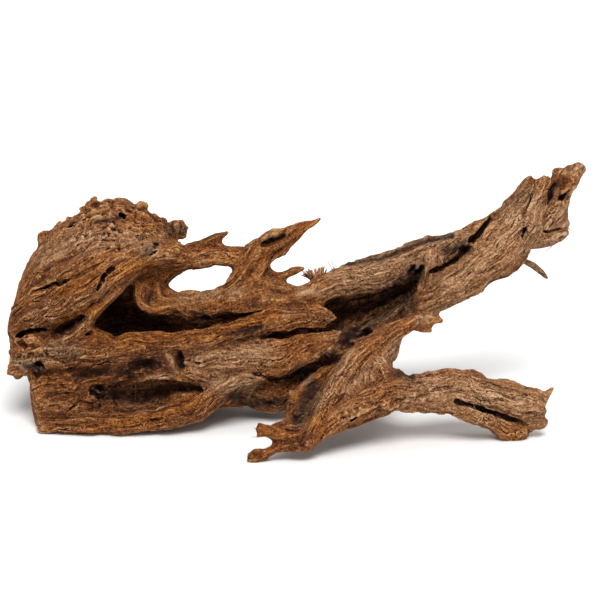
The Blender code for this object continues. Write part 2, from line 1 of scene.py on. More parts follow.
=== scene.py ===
"""Dresses the mangrove root: the strands of the solid again, fused more finely, with the grain, cracks,
pits, fibres and colours of old driftwood.

The root is drawn as strands on a front-view sheet 600 mm square, x to the right and y down. A strand is a
list of points: x, y, depth behind the sheet, half width across the sheet and half depth, all in mm.
The wood is one body, shown as a few pieces that share their borders, and loose fibres lie on it.
"""

import itertools
import math
import random

import bmesh
import bpy
import numpy as np
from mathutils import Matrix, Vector
from mathutils.bvhtree import BVHTree
from mathutils.kdtree import KDTree


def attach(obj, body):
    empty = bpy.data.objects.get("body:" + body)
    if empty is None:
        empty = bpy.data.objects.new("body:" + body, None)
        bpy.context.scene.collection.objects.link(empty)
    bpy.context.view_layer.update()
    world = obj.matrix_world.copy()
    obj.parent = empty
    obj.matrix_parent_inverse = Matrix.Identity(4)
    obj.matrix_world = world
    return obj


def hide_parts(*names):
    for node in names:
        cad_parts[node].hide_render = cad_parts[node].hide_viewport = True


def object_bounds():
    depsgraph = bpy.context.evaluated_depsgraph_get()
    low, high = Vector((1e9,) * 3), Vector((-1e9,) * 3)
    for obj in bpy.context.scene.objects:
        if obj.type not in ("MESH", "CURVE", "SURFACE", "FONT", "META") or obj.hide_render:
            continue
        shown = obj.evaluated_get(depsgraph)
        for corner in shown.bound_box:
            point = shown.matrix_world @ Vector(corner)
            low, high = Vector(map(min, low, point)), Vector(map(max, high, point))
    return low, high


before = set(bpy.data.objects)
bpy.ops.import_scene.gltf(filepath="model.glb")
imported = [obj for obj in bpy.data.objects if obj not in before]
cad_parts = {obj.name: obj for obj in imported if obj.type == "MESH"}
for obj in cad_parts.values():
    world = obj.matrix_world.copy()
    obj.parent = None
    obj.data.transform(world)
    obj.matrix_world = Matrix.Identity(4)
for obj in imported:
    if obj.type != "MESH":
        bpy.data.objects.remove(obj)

CAD_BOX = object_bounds()
MM = 0.001
BODY = "root"
NODE = "mangrove_root"

# The sheet and how it stands over the ground
SHEET_CENTRE = (300.0, 300.0)
SHEET_TILT = math.radians(18.0)
SIGHT_DISTANCE = 2500.0
RIGHT = np.array((1.0, 0.0, 0.0))
RISE = np.array((0.0, math.sin(SHEET_TILT), math.cos(SHEET_TILT)))
SIGHT = np.array((0.0, math.cos(SHEET_TILT), -math.sin(SHEET_TILT)))
ORIGIN_ON_SHEET = np.array((-1.4, -5.6, -125.4))

# How finely the strands are lofted and fused, in how many pieces they are shown, and how much one smoothing
# does. The last keeps lengths from being nought
STATION_STEP = 4.0
SIDES = 28
VOXEL = 2.0
FILLET = 1.8
FINE_VOXEL = 1.17
PIECES = 5
SOFTEN_SHARE = 0.5
TINY = 1e-12

# The roughness of a strand, as in the solid
RIBS = 4
RIB_COUNTS = (2, 7)
RIB_HEIGHT = 0.16
RIB_TWIST = 0.012
RIB_MEAN = 0.64
WANDER_HEIGHT = 0.12
WANDER_LENGTH = 42.0
WANDER_WAVES = 3
WANDER_PACES = (0.6, 1.8)
THINNEST = 0.8
CAP_RINGS = 3
CAP_OPEN = 0.6
CAP_REACH = 7.0

# Thin tubes laid on the wood along its grain: veins grow into it, fibres lie loosely on it. One for each area
# of strand in mm2, with their lengths, radii, step between rings, sides, how deep they sink as a share of the
# radius, the thinnest strand that bears them, how far an end peels off, their least radius, all in mm, and how
# much they waver around the strand
VEINS = {"area": 330.0, "lengths": (18.0, 95.0), "radii": (0.5, 2.2), "step": 5.0, "sides": 7, "sink": 0.3,
         "bearer": 5.0, "peel": 0.0, "least": 0.15, "wave": 0.12}
FIBRES = {"area": 900.0, "lengths": (6.0, 26.0), "radii": (0.2, 0.4), "step": 4.0, "sides": 4, "sink": 0.1,
          "bearer": 3.0, "peel": 3.0, "least": 0.08, "wave": 0.35}
LAID_REACH = 4.0
LAID_TURN = 0.35
PEEL_SHARE = 0.5

# Relief on the wood, in mm: (height, length along the grain, width across it), and (height, width) of lumps
RIDGES = ((1.1, 60.0, 12.0), (0.6, 34.0, 6.0), (0.3, 18.0, 3.2), (0.17, 10.0, 2.0))
LUMPS = ((2.0, 34.0), (1.1, 13.0), (0.6, 5.5))
ROTTEN = ((4.0, 12.0), (2.4, 5.0))
SWIRL = (4.0, 24.0)
FLAKES = ((1.1, 48.0, 8.0, 0.10), (0.6, 26.0, 5.0, 0.16))
SPLITS = (2.2, 42.0, 5.5, 0.05)
BURL_CELLS = ((3.2, 12.0), (0.9, 5.5))
BURL_WARP = (5.0, 16.0)
PIT_SHARE = 0.3
THIN_WOOD = 7.0

# How a point finds its strand, and how widely the relief is blended where two strands meet
RING_CHOICES = 10
RUN_WEIGHT = 0.3
BORDER_ROUNDS = 4

STOCK = {
    "core": [(34, 304, 44, 14, 26), (60, 282, 44, 26, 38), (90, 262, 44, 32, 44), (122, 247, 44, 28, 42),
             (152, 247, 42, 15, 28)],
    "brow": [(19, 327, 18, 9, 16), (45, 316, 0, 15, 24), (80, 298, -8, 18, 26), (112, 277, -8, 16, 24),
             (145, 257, 0, 14, 24), (176, 254, 8, 12, 20)],
    "brow_upper": [(22, 310, 18, 9, 20), (48, 295, 2, 14, 24), (82, 273, -4, 17, 28), (122, 254, 2, 15, 28),
                   (162, 249, 8, 10, 22)],
    "flank": [(25, 298, 26, 8, 20), (45, 272, 16, 16, 30), (70, 255, 10, 22, 34), (98, 240, 14, 26, 36),
              (132, 238, 20, 24, 34), (162, 243, 22, 15, 26)],
    "crest": [(48, 246, 34, 9, 14), (64, 238, 34, 13, 24), (88, 228, 34, 14, 30), (118, 218, 34, 17, 30),
              (144, 226, 34, 14, 28)],
    "left_edge": [(42, 250, 32, 6, 14), (33, 268, 34, 6, 18), (23, 290, 34, 6, 20), (19, 308, 30, 6, 22),
                  (15, 324, 28, 6, 24), (22, 345, 30, 10, 26), (22, 362, 30, 10, 24)],
    "cheek": [(26, 340, 14, 8, 20), (60, 342, 2, 8, 22), (84, 328, -4, 7, 20), (94, 314, -6, 5, 16),
              (106, 300, -8, 5, 14), (120, 286, -8, 5, 12)],
    "cheek_foot": [(84, 330, -4, 6, 16), (96, 334, -6, 5, 14), (108, 338, -8, 5, 14)],
}
KNOBS = {
    "shoulder_knob": [(44, 239, 30, 9, 10), (48, 237, 30, 8, 10)],
    "horn": [(82, 228, 30, 10, 10), (89, 214, 28, 8, 8), (93, 204, 27, 5.5, 6)],
    "top_knob_a": [(105, 212, 26, 10, 10), (122, 210, 26, 9.5, 10)],
    "top_knob_b": [(130, 213, 28, 9, 10), (141, 211, 28, 6.5, 8)],
    "top_knob_c": [(150, 221, 30, 8, 8), (159, 223, 30, 6.5, 8)],
    "neck": [(158, 232, 24, 8, 9), (174, 232, 20, 6, 8)],
    "ball": [(175, 230, 18, 8.5, 9), (180, 229.5, 18, 9, 9)],
    "waist_tip": [(22, 343, 14, 6, 8), (13, 341, 14, 4, 5)],
    "waist_a": [(20, 354, 16, 9, 12), (36, 350, 4, 10, 14)],
    "waist_b": [(17, 367, 18, 8, 12), (34, 366, 6, 9, 14)],
    "waist_c": [(18, 374, 20, 4, 6), (17.5, 377, 20, 3, 4)],
}
LOG = {
    "rim": [(28, 356, 14, 15, 22), (60, 355, 0, 16, 28), (110, 350, -8, 16, 26), (160, 344, -10, 13, 22),
            (200, 341, -10, 12, 20), (226, 334, -9, 13, 19), (260, 324, -8, 13, 17),
            (300, 317, -6, 10.5, 14), (322, 316, -5, 10, 10), (333, 318, -4, 5, 7)],
    "plank": [(190, 362, -2, 14, 20), (235, 358, -8, 17, 20), (280, 356, -10, 17, 15),
              (306, 347, -12, 15, 9), (326, 340, -12, 11, 6), (337, 337, -12, 7.5, 4)],
    "plank_edge": [(285, 371, -14, 5, 6), (303, 361, -15, 5, 5), (318, 355, -15, 5, 4),
                   (330, 347, -14, 4, 4), (336, 342, -13, 3, 3)],
    "plank_top": [(300, 337, -13, 5, 7), (318, 333.5, -14, 4, 5), (338.5, 332.5, -13, 2.4, 3.5)],
    "plank_foot": [(262, 366, -8, 9, 12), (278, 370, -12, 8, 8), (296, 364, -13, 6, 6)],
    "barrel": [(42, 402, 34, 24, 40), (80, 399, 32, 30, 44), (140, 391, 32, 30, 44), (200, 382, 30, 27, 40),
               (250, 382, 32, 26, 34), (280, 388, 34, 25, 28), (320, 364, 40, 20, 20),
               (362, 330, 44, 18, 14), (404, 300, 44, 16, 12)],
    "lip": [(44, 423, 6, 10, 18), (95, 423, -4, 12, 18), (140, 421, -6, 11.5, 18), (180, 412, -8, 15, 18),
            (205, 400, -6, 15, 18), (232, 381, -6, 14, 18), (262, 372, -4, 10, 16)],
    "log_front": [(40, 388, 10, 14, 16), (70, 384, -2, 15, 18), (100, 375, -4, 8, 14), (150, 366, -8, 8, 14),
                  (190, 372, -8, 10, 14), (230, 384, -2, 14, 16)],
    "log_end": [(37, 382, 20, 8, 12), (38, 400, 16, 8, 14), (42, 422, 16, 8, 14)],
    "splinter": [(147, 377.5, -16, 1.6, 2), (160, 376, -17, 3, 4), (178, 375, -14, 5, 6)],
    "hook": [(156, 354, -14, 3, 4), (165, 351, -20, 3.6, 4), (171, 357, -22, 4, 4), (175, 367, -19, 4.4, 5),
             (180, 380, -14, 4.6, 6), (185, 393, -12, 4.6, 6)],
    "hook_knob": [(163, 358, -14, 5, 5), (168, 368, -15, 5.5, 5)],
    "lip_spike_a": [(155, 410, -14, 5, 5), (157, 403, -16, 1.4, 1.6)],
    "lip_spike_b": [(167, 407, -16, 5, 5), (166, 399, -18, 1.4, 1.6)],
}
BACK = {
    "back_wall": [(40, 330, 66, 26, 22), (90, 305, 84, 42, 18), (135, 300, 88, 32, 16),
                  (170, 314, 82, 16, 16), (210, 318, 70, 16, 16), (260, 310, 50, 14, 16),
                  (300, 302, 30, 12, 14)],
    "back_crest": [(60, 264, 60, 20, 28), (112, 248, 68, 26, 28), (160, 251, 56, 13, 20)],
    "back_log": [(46, 390, 64, 22, 26), (120, 376, 80, 24, 24), (200, 366, 70, 24, 24),
                 (260, 368, 52, 20, 20)],
    "back_mid": [(44, 364, 72, 22, 24), (110, 348, 90, 28, 18), (180, 340, 84, 24, 16),
                 (240, 334, 60, 20, 16), (290, 326, 34, 14, 14)],
    "back_rib_a": [(66, 248, 76, 9, 14), (92, 276, 102, 11, 14), (124, 312, 104, 12, 13),
                   (162, 338, 98, 10, 12), (214, 348, 82, 9, 12), (270, 342, 56, 8, 12)],
    "back_rib_b": [(36, 300, 74, 10, 16), (62, 336, 94, 12, 18), (104, 362, 104, 12, 14),
                   (168, 376, 96, 10, 14), (232, 374, 74, 8, 14)],
    "back_rib_c": [(130, 238, 72, 9, 12), (146, 276, 98, 10, 12), (182, 311, 94, 9, 12),
                   (236, 322, 76, 9, 12), (300, 318, 48, 8, 12), (340, 302, 44, 8, 10)],
    "back_knob": [(88, 300, 106, 13, 10), (104, 292, 108, 10, 9)],
    "back_stub": [(150, 360, 96, 10, 14), (166, 352, 112, 8, 8), (172, 348, 120, 6, 6)],
}
CENTRE = {
    "bridge": [(150, 260, 14, 12, 16), (172, 259, 12, 11, 13), (198, 258, 9, 11, 11), (225, 258, 7, 9.5, 10),
               (252, 260, 4, 10, 10)],
    "bridge_spur": [(190, 250, 10, 8, 6), (206, 244, 9, 6.5, 5), (220, 236, 8, 4.5, 4),
                    (229, 231.5, 7, 2, 2)],
    "bridge_jag": [(200, 249, 9, 6, 6), (216, 246, 8, 6, 5), (226, 249, 8, 4, 5), (243, 251, 6, 3.5, 5)],
    "antler": [(214, 302, 6, 11, 12), (233, 287, 3, 9.5, 13), (251, 266, 0, 12, 12), (268, 248, -3, 14, 10),
               (285, 238, -5, 10.5, 7), (300, 229, -6, 7, 5), (313, 223, -7, 5.5, 4), (319, 219, -7, 3, 3)],
    "antler_side": [(238, 294, 8, 12, 12), (256, 279, 6, 11, 11), (266, 269, 6, 6, 8)],
    "antler_thorn": [(264, 274, 6, 5, 5), (273, 271, 6, 2.4, 2.4)],
    "twig": [(256, 288, 6, 9, 9), (272, 280, 5, 6.5, 7), (284, 275, 4, 4.2, 5), (296, 270, 3, 3.6, 4),
             (304, 268.5, 2, 3.2, 3.2)],
    "curl_root": [(150, 262, 20, 8, 10), (158, 274, 24, 6, 8), (157, 284, 20, 5, 7)],
    "curl": [(152, 278, 20, 5, 7), (141, 286, 10, 4.5, 6), (138.5, 297, 4, 4.5, 6), (145, 307, 1, 5, 6),
             (158, 311, 0, 4.8, 7), (176, 308, 0, 5, 7), (190, 311, 0, 7, 8), (206, 315, 0, 8.5, 9),
             (230, 311, 0, 9, 10), (252, 305, 0, 9, 11)],
    "curl_rib": [(160, 281, 24, 5, 6), (152, 289, 18, 4.5, 5), (151, 298, 14, 4.5, 5), (159, 304, 10, 5, 6),
                 (174, 302, 8, 5, 7), (192, 303, 5, 7, 8)],
    "bowl": [(160, 290, 28, 7, 7), (170, 299, 20, 8, 7), (190, 300, 11, 11, 9), (212, 299, 6, 11.5, 11),
             (238, 292, 3, 15, 13), (258, 288, 2, 17, 14), (278, 293, 4, 12, 14), (302, 298, 4, 10, 14)],
    "window_jamb": [(182, 268, 18, 4.5, 7), (170, 275, 22, 5, 7), (162, 285, 24, 5, 7), (172, 295, 20, 5, 7)],
    "heart": [(206, 312, 6, 9, 12), (236, 304, 4, 12, 14), (270, 299, 4, 12, 15), (302, 300, 4, 11, 15)],
    "grey_knot": [(304, 298, 0, 8, 10), (314, 288, -2, 7, 9)],
    "brush": [(308, 293, 28, 5, 8), (314, 282, 26, 5, 7), (318, 275, 25, 3.6, 5)],
}
ARM = {
    "top_ridge": [(262, 299, 4, 11, 14), (300, 296, 5, 10, 16), (340, 284, 6, 13.5, 17),
                  (380, 276, 10, 13.5, 17), (418, 262, 14, 13, 15), (450, 246, 16, 11, 13),
                  (478, 229, 20, 7, 10), (498, 215, 22, 6, 9)],
    "back_ridge": [(304, 294, 24, 8, 12), (330, 280, 32, 7, 12), (362, 267, 34, 8.5, 13),
                   (400, 257, 36, 9, 13), (430, 245, 36, 9, 13), (464, 237, 34, 7, 12),
                   (490, 223, 30, 6, 10)],
    "under_ridge": [(420, 304, 10, 12, 14), (440, 293, 4, 18, 20), (462, 280, 4, 19, 22),
                    (482, 264, 8, 23, 24), (500, 248, 12, 25, 25), (516, 230, 16, 23, 23),
                    (529, 207, 20, 18, 19), (538, 192, 24, 12, 14), (545, 181, 27, 7, 9)],
    "under_edge": [(428, 312, 12, 6, 12), (450, 301, 18, 6, 16), (474, 286, 20, 6, 18),
                   (494, 270, 22, 6, 18), (506, 256, 24, 6, 16)],
    "arm_web": [(430, 258, 6, 6, 8), (428, 272, 1, 5, 8), (425, 284, 0, 8, 9), (422, 298, 6, 11, 11)],
    "arm_burr": [(470, 246, 0, 4, 5), (478, 248, -6, 6, 7), (485, 250, -8, 4, 5)],
    "prong": [(505, 215, 24, 8, 10), (515, 200, 26, 8, 9), (523, 187, 27, 5, 6), (530.5, 177, 28, 2.6, 3.5)],
    "arm_nub": [(424, 241, 32, 5, 6), (428.5, 235, 31, 2.2, 3)],
    "back_plate": [(304, 322, 44, 12, 10), (330, 322, 54, 18, 9), (358, 310, 62, 22, 9),
                   (394, 292, 64, 23, 9), (430, 272, 54, 18, 10), (470, 250, 38, 14, 12)],
    "slope": [(332, 352, 16, 9, 9), (360, 338, 20, 8, 9), (390, 319, 22, 8, 10), (412, 306, 18, 7, 10)],
    "nub_a": [(408, 324, 2, 8, 8), (430, 320, 2, 5.5, 6), (441, 321.5, 3, 3.8, 4)],
    "nub_b": [(410, 325, 2, 6, 7), (424, 328, 2, 5, 5), (430, 330, 2, 3.4, 3.5)],
    "nub_c": [(418, 316, 6, 8, 10), (434, 313, 8, 5, 8)],
}
ARM_END = {
    "fork": [(524, 240, 34, 9, 12), (545, 222, 42, 13, 13), (557, 206, 46, 12, 12), (563, 190, 48, 9, 10),
             (570, 177, 49, 9, 10), (580, 168.5, 50, 8, 8)],
    "fork_knob": [(556, 184, 44, 7, 8), (561, 176, 46, 7, 8)],
    "fork_horn": [(557, 180, 46, 5, 6), (555, 171, 46, 3.6, 4)],
    "fork_bump": [(567, 173, 48, 5, 6), (568.5, 165.5, 48, 2.6, 3)],
    "fork_web": [(538, 216, 40, 8, 6), (548, 202, 42, 7, 6), (554, 190, 44, 5, 6)],
    "fan_a": [(522, 244, 32, 6, 9), (545, 238, 40, 7, 9), (562, 233, 44, 5.5, 6)],
    "fan_b": [(535, 227, 36, 7, 8), (555, 226, 42, 6, 7), (566, 224, 44, 3.6, 4)],
    "fan_tip": [(540, 222, 38, 6, 7), (558, 218, 43, 5, 5), (567.5, 216, 44, 2, 3)],
    "fan_c": [(524, 247, 34, 3.5, 6), (540, 246.5, 40, 2.8, 5), (554, 244, 44, 2, 3)],
    "thorn": [(556, 205, 44, 6, 6), (565, 204, 46, 2.8, 3)],
    "jag": [(560, 196, 46, 6, 6), (568.5, 194, 47, 3, 4)],
    "tail_twig": [(514, 252, 24, 4, 5), (524, 261, 26, 3.8, 4), (534, 266, 28, 3.8, 4),
                  (542, 273, 29, 3.2, 3.4), (548, 279, 30, 2.2, 2.2)],
}
LEG = {
    "shin": [(412, 322, 2, 8, 12), (386, 338, -8, 12, 15), (362, 358, -22, 15, 17), (342, 384, -42, 15, 17),
             (326, 410, -60, 13, 15), (316, 430, -72, 10, 12), (308, 443, -80, 7, 8)],
    "calf": [(334, 367, -14, 2.5, 4), (319, 376, -24, 4.4, 5), (304, 387, -36, 5, 5), (295, 398, -46, 5, 5),
             (290, 409, -54, 4.4, 5), (288, 418, -60, 3.5, 5)],
    "calf_thorn": [(296, 394, -44, 5, 5), (288, 391, -46, 1.6, 2)],
    "hollow_side": [(338, 372, 0, 9, 7), (322, 391, -18, 14, 7), (308, 408, -38, 15, 7),
                    (295, 421, -54, 10, 7)],
    "toe_a": [(314, 424, -68, 8, 9), (300, 434, -76, 7, 8), (285, 435, -80, 6.5, 7), (270, 433, -82, 6, 6),
              (262, 431, -82, 6.5, 6)],
    "toe_b": [(306, 443, -78, 6.5, 8), (290, 446.5, -80, 5.4, 7), (275, 449, -79, 5, 6),
              (263, 456, -77, 6.4, 7), (252, 458, -77, 6, 7)],
    "toe_c": [(318, 434, -78, 8, 8), (309, 446, -82, 6, 6), (298, 450, -84, 2.6, 4)],
    "web": [(388, 341, -6, 13, 14), (374, 366, -24, 16.5, 14), (362, 398, -46, 18, 14),
            (344, 418, -64, 11, 11), (330, 431, -74, 6, 6)],
    "heel_link": [(388, 350, -14, 6, 8), (386, 365, -26, 6, 9), (400, 378, -38, 6, 9), (426, 381, -44, 5, 8)],
    "heel_fill": [(378, 364, -28, 10, 12), (386, 380, -40, 10, 12), (398, 392, -48, 10, 12)],
    "heel": [(328, 433, -74, 4, 6), (350, 423, -66, 6, 7), (374, 414, -56, 7, 8), (396, 405, -50, 5, 8)],
}
LIMB = {
    "limb_top": [(322, 434, -78, 6, 8), (342, 416, -72, 10, 12), (370, 402, -62, 12.5, 14),
                 (400, 393, -52, 16, 16), (430, 391, -44, 18, 17), (460, 389, -36, 19, 18),
                 (490, 397, -30, 16, 17), (516, 403, -25, 18, 16), (538, 408, -22, 17, 13)],
    "limb_low": [(396, 401, -50, 10, 12), (424, 402, -46, 11, 12), (456, 406, -38, 10.5, 13),
                 (488, 418, -28, 11, 14), (508, 430.5, -20, 11, 12), (523, 431, -20, 8.5, 9)],
    "limb_back": [(440, 380, -34, 9, 10), (462, 378, -30, 9, 10), (478, 378.5, -28, 8, 9)],
    "limb_lobe": [(468, 376, -32, 7, 7), (483, 378, -30, 3.2, 4)],
    "limb_crest": [(490, 390, -26, 9, 10), (510, 388, -24, 8, 9), (528, 394, -22, 6, 8)],
    "limb_spike": [(542, 400, -22, 7, 6), (549, 392, -21, 4, 3.6), (552.5, 387.5, -20, 2.4, 2.4)],
    "limb_corner": [(528, 420, -20, 9, 9), (543, 423, -20, 6.5, 6)],
}
HOLLOWS = {
    "log_pit": [(95, 391, -16, 6, 12), (112, 396, -14, 12, 18), (133, 397, -12, 16, 24),
                (156, 393, -12, 14, 24), (175, 388, -14, 9, 20), (191, 389, -16, 4, 14),
                (201, 391, -18, 1.6, 10)],
    "log_hole": [(92, 389, -8, 3, 10), (98, 391, 2, 4, 18), (106, 391.5, 0, 3, 12)],
    "cave_tail": [(150, 323, -2, 6, 20), (172, 323, -6, 6.5, 20), (196, 323, -8, 5.5, 18),
                  (222, 319.5, -8, 4, 15), (244, 315.5, -8, 2.6, 13), (262, 311.5, -8, 1.4, 11)],
    "antler_pit": [(262, 244, -14, 4, 11), (272, 240, -15, 5.5, 12), (284, 235, -14, 3, 7)],
    "cheek_slot": [(50, 334, -16, 2.5, 12), (64, 327, -20, 4.5, 24), (82, 316, -22, 3, 18)],
    "brow_crack": [(30, 296, -2, 1.2, 8), (44, 288.5, -20, 1.6, 8), (58, 284, -26, 1.6, 8),
                   (71, 279, -30, 1.2, 8)],
    "brow_split": [(97, 291, -34, 1.2, 8), (104, 276, -34, 1.6, 8), (114, 266, -30, 1.2, 8)],
    "waist_groove": [(14, 338, 0, 1.8, 10), (28, 332, -8, 2.4, 12), (44, 330, -18, 2.4, 10)],
    "seam": [(56, 375, -22, 1.2, 10), (80, 367, -26, 1.4, 10), (108, 362, -30, 1.4, 10),
             (124, 363, -28, 1.2, 8)],
    "rim_shade": [(134, 366, -22, 6, 8), (146, 362, -22, 7, 9), (155, 365, -22, 5, 8)],
    "hook_pit": [(180, 352, -22, 3, 8), (182, 365, -22, 3, 8)],
    "lens_pit": [(188, 361, -24, 1.6, 8), (199, 363.5, -24, 1.8, 8)],
    "curl_crack": [(252, 373, -26, 1.6, 7), (266, 377, -26, 2.2, 8), (284, 379, -26, 2.2, 8)],
    "tongue_slot": [(262, 338.5, -18, 1.6, 10), (275, 335, -18, 3.8, 13), (290, 334.5, -17, 2.4, 12),
                    (300, 331, -16, 2.6, 8), (330, 330, -14, 1.4, 7)],
    "arm_trough": [(334, 324, -12, 3, 14), (347, 323, -2, 9, 20), (362, 314, 4, 13, 26),
                   (382, 304, 8, 13, 28), (400, 297, 10, 8, 24), (411, 290, 8, 5, 18),
                   (416, 278, 2, 4.5, 16), (421, 267, 0, 3, 14)],
    "fang_gap": [(336, 345, -4, 3, 14), (348, 338, -2, 4, 16), (368, 332, 2, 4, 16)],
    "arm_pit": [(409, 275, -4, 3, 10), (414, 268, -4, 3, 10)],
    "arm_slot": [(430, 272, -4, 1.6, 14), (444, 266.5, -2, 3.4, 18), (458, 258, 0, 3.6, 18),
                 (469, 247, 2, 2, 14)],
    "arm_slot_end": [(470, 243, 6, 2, 14), (481, 231, 8, 4, 16), (489, 220, 10, 3, 15),
                     (495, 212.5, 12, 1.6, 14)],
    "arm_dish": [(446, 250, -10, 4, 6), (460, 245, -8, 4, 6)],
    "fold_dish": [(342, 290, -18, 5, 6), (356, 288, -18, 6, 6), (368, 287, -16, 4, 5)],
    "end_pit": [(522, 238, -6, 1.6, 7), (525, 230, -4, 1.6, 7)],
    "fork_gap": [(543, 206, 30, 2, 12), (549, 196, 34, 3.6, 14), (554, 185, 36, 2.6, 12)],
    "fan_crack": [(541, 231.5, 30, 1.2, 8), (551, 231, 32, 1.4, 8), (561, 228, 36, 1.4, 8)],
    "jag_pit": [(562, 197, 38, 2.2, 6), (568, 192, 40, 1.8, 6)],
    "limb_crack": [(456, 401, -54, 1.2, 8), (480, 409, -46, 1.8, 9), (508, 418, -38, 1.8, 9),
                   (530, 427, -34, 1.4, 8)],
    "web_crack": [(356, 378, -42, 1.2, 6), (366, 370, -38, 1.4, 6), (382, 361, -30, 1.2, 6)],
    "web_pit": [(352, 419, -78, 2, 7), (362, 410, -70, 2, 7)],
    "heel_pit": [(398, 372, -52, 3, 6), (410, 376, -54, 4, 7)],
    "crest_pit_a": [(94, 223, 0, 3.6, 8), (98, 221, 0, 3.6, 8)],
    "crest_pit_b": [(121, 215, 4, 3.2, 8), (125, 218, 4, 3.2, 8)],
    "crest_pit_c": [(106, 219, 0, 2.6, 8), (109, 219, 0, 2.6, 8)],
    "crest_pit_d": [(137, 208, 16, 2.4, 6), (139, 209.5, 16, 2.4, 6)],
    "crest_pit_e": [(83, 232, -6, 2.2, 7), (86, 231, -6, 2.2, 7)],
    "shoulder_pit": [(58, 231, 8, 1.8, 7), (65, 228, 6, 2.4, 8), (72, 226, 6, 1.8, 7)],
    "brow_pit_a": [(153, 243, -14, 2, 7), (157, 245, -14, 2, 7)],
    "brow_pit_b": [(142, 255, -22, 1.6, 6), (147, 256, -22, 1.6, 6)],
    "knot_pit": [(86, 305, -36, 1.8, 7), (89, 306, -36, 1.8, 7)],
    "cheek_pit": [(86, 335, -22, 2, 8), (93, 332, -22, 2, 8)],
    "waist_pit_a": [(19, 344, -2, 2, 7), (26, 345.5, -6, 2.6, 7)],
    "waist_pit_b": [(45, 351, -26, 1.8, 7), (47, 355, -26, 1.8, 7)],
    "waist_pit_c": [(21, 363, -6, 2, 7), (25, 363, -6, 2, 7)],
    "waist_pit_d": [(37, 364, -18, 2.6, 7), (42, 366, -18, 2.6, 7)],
}
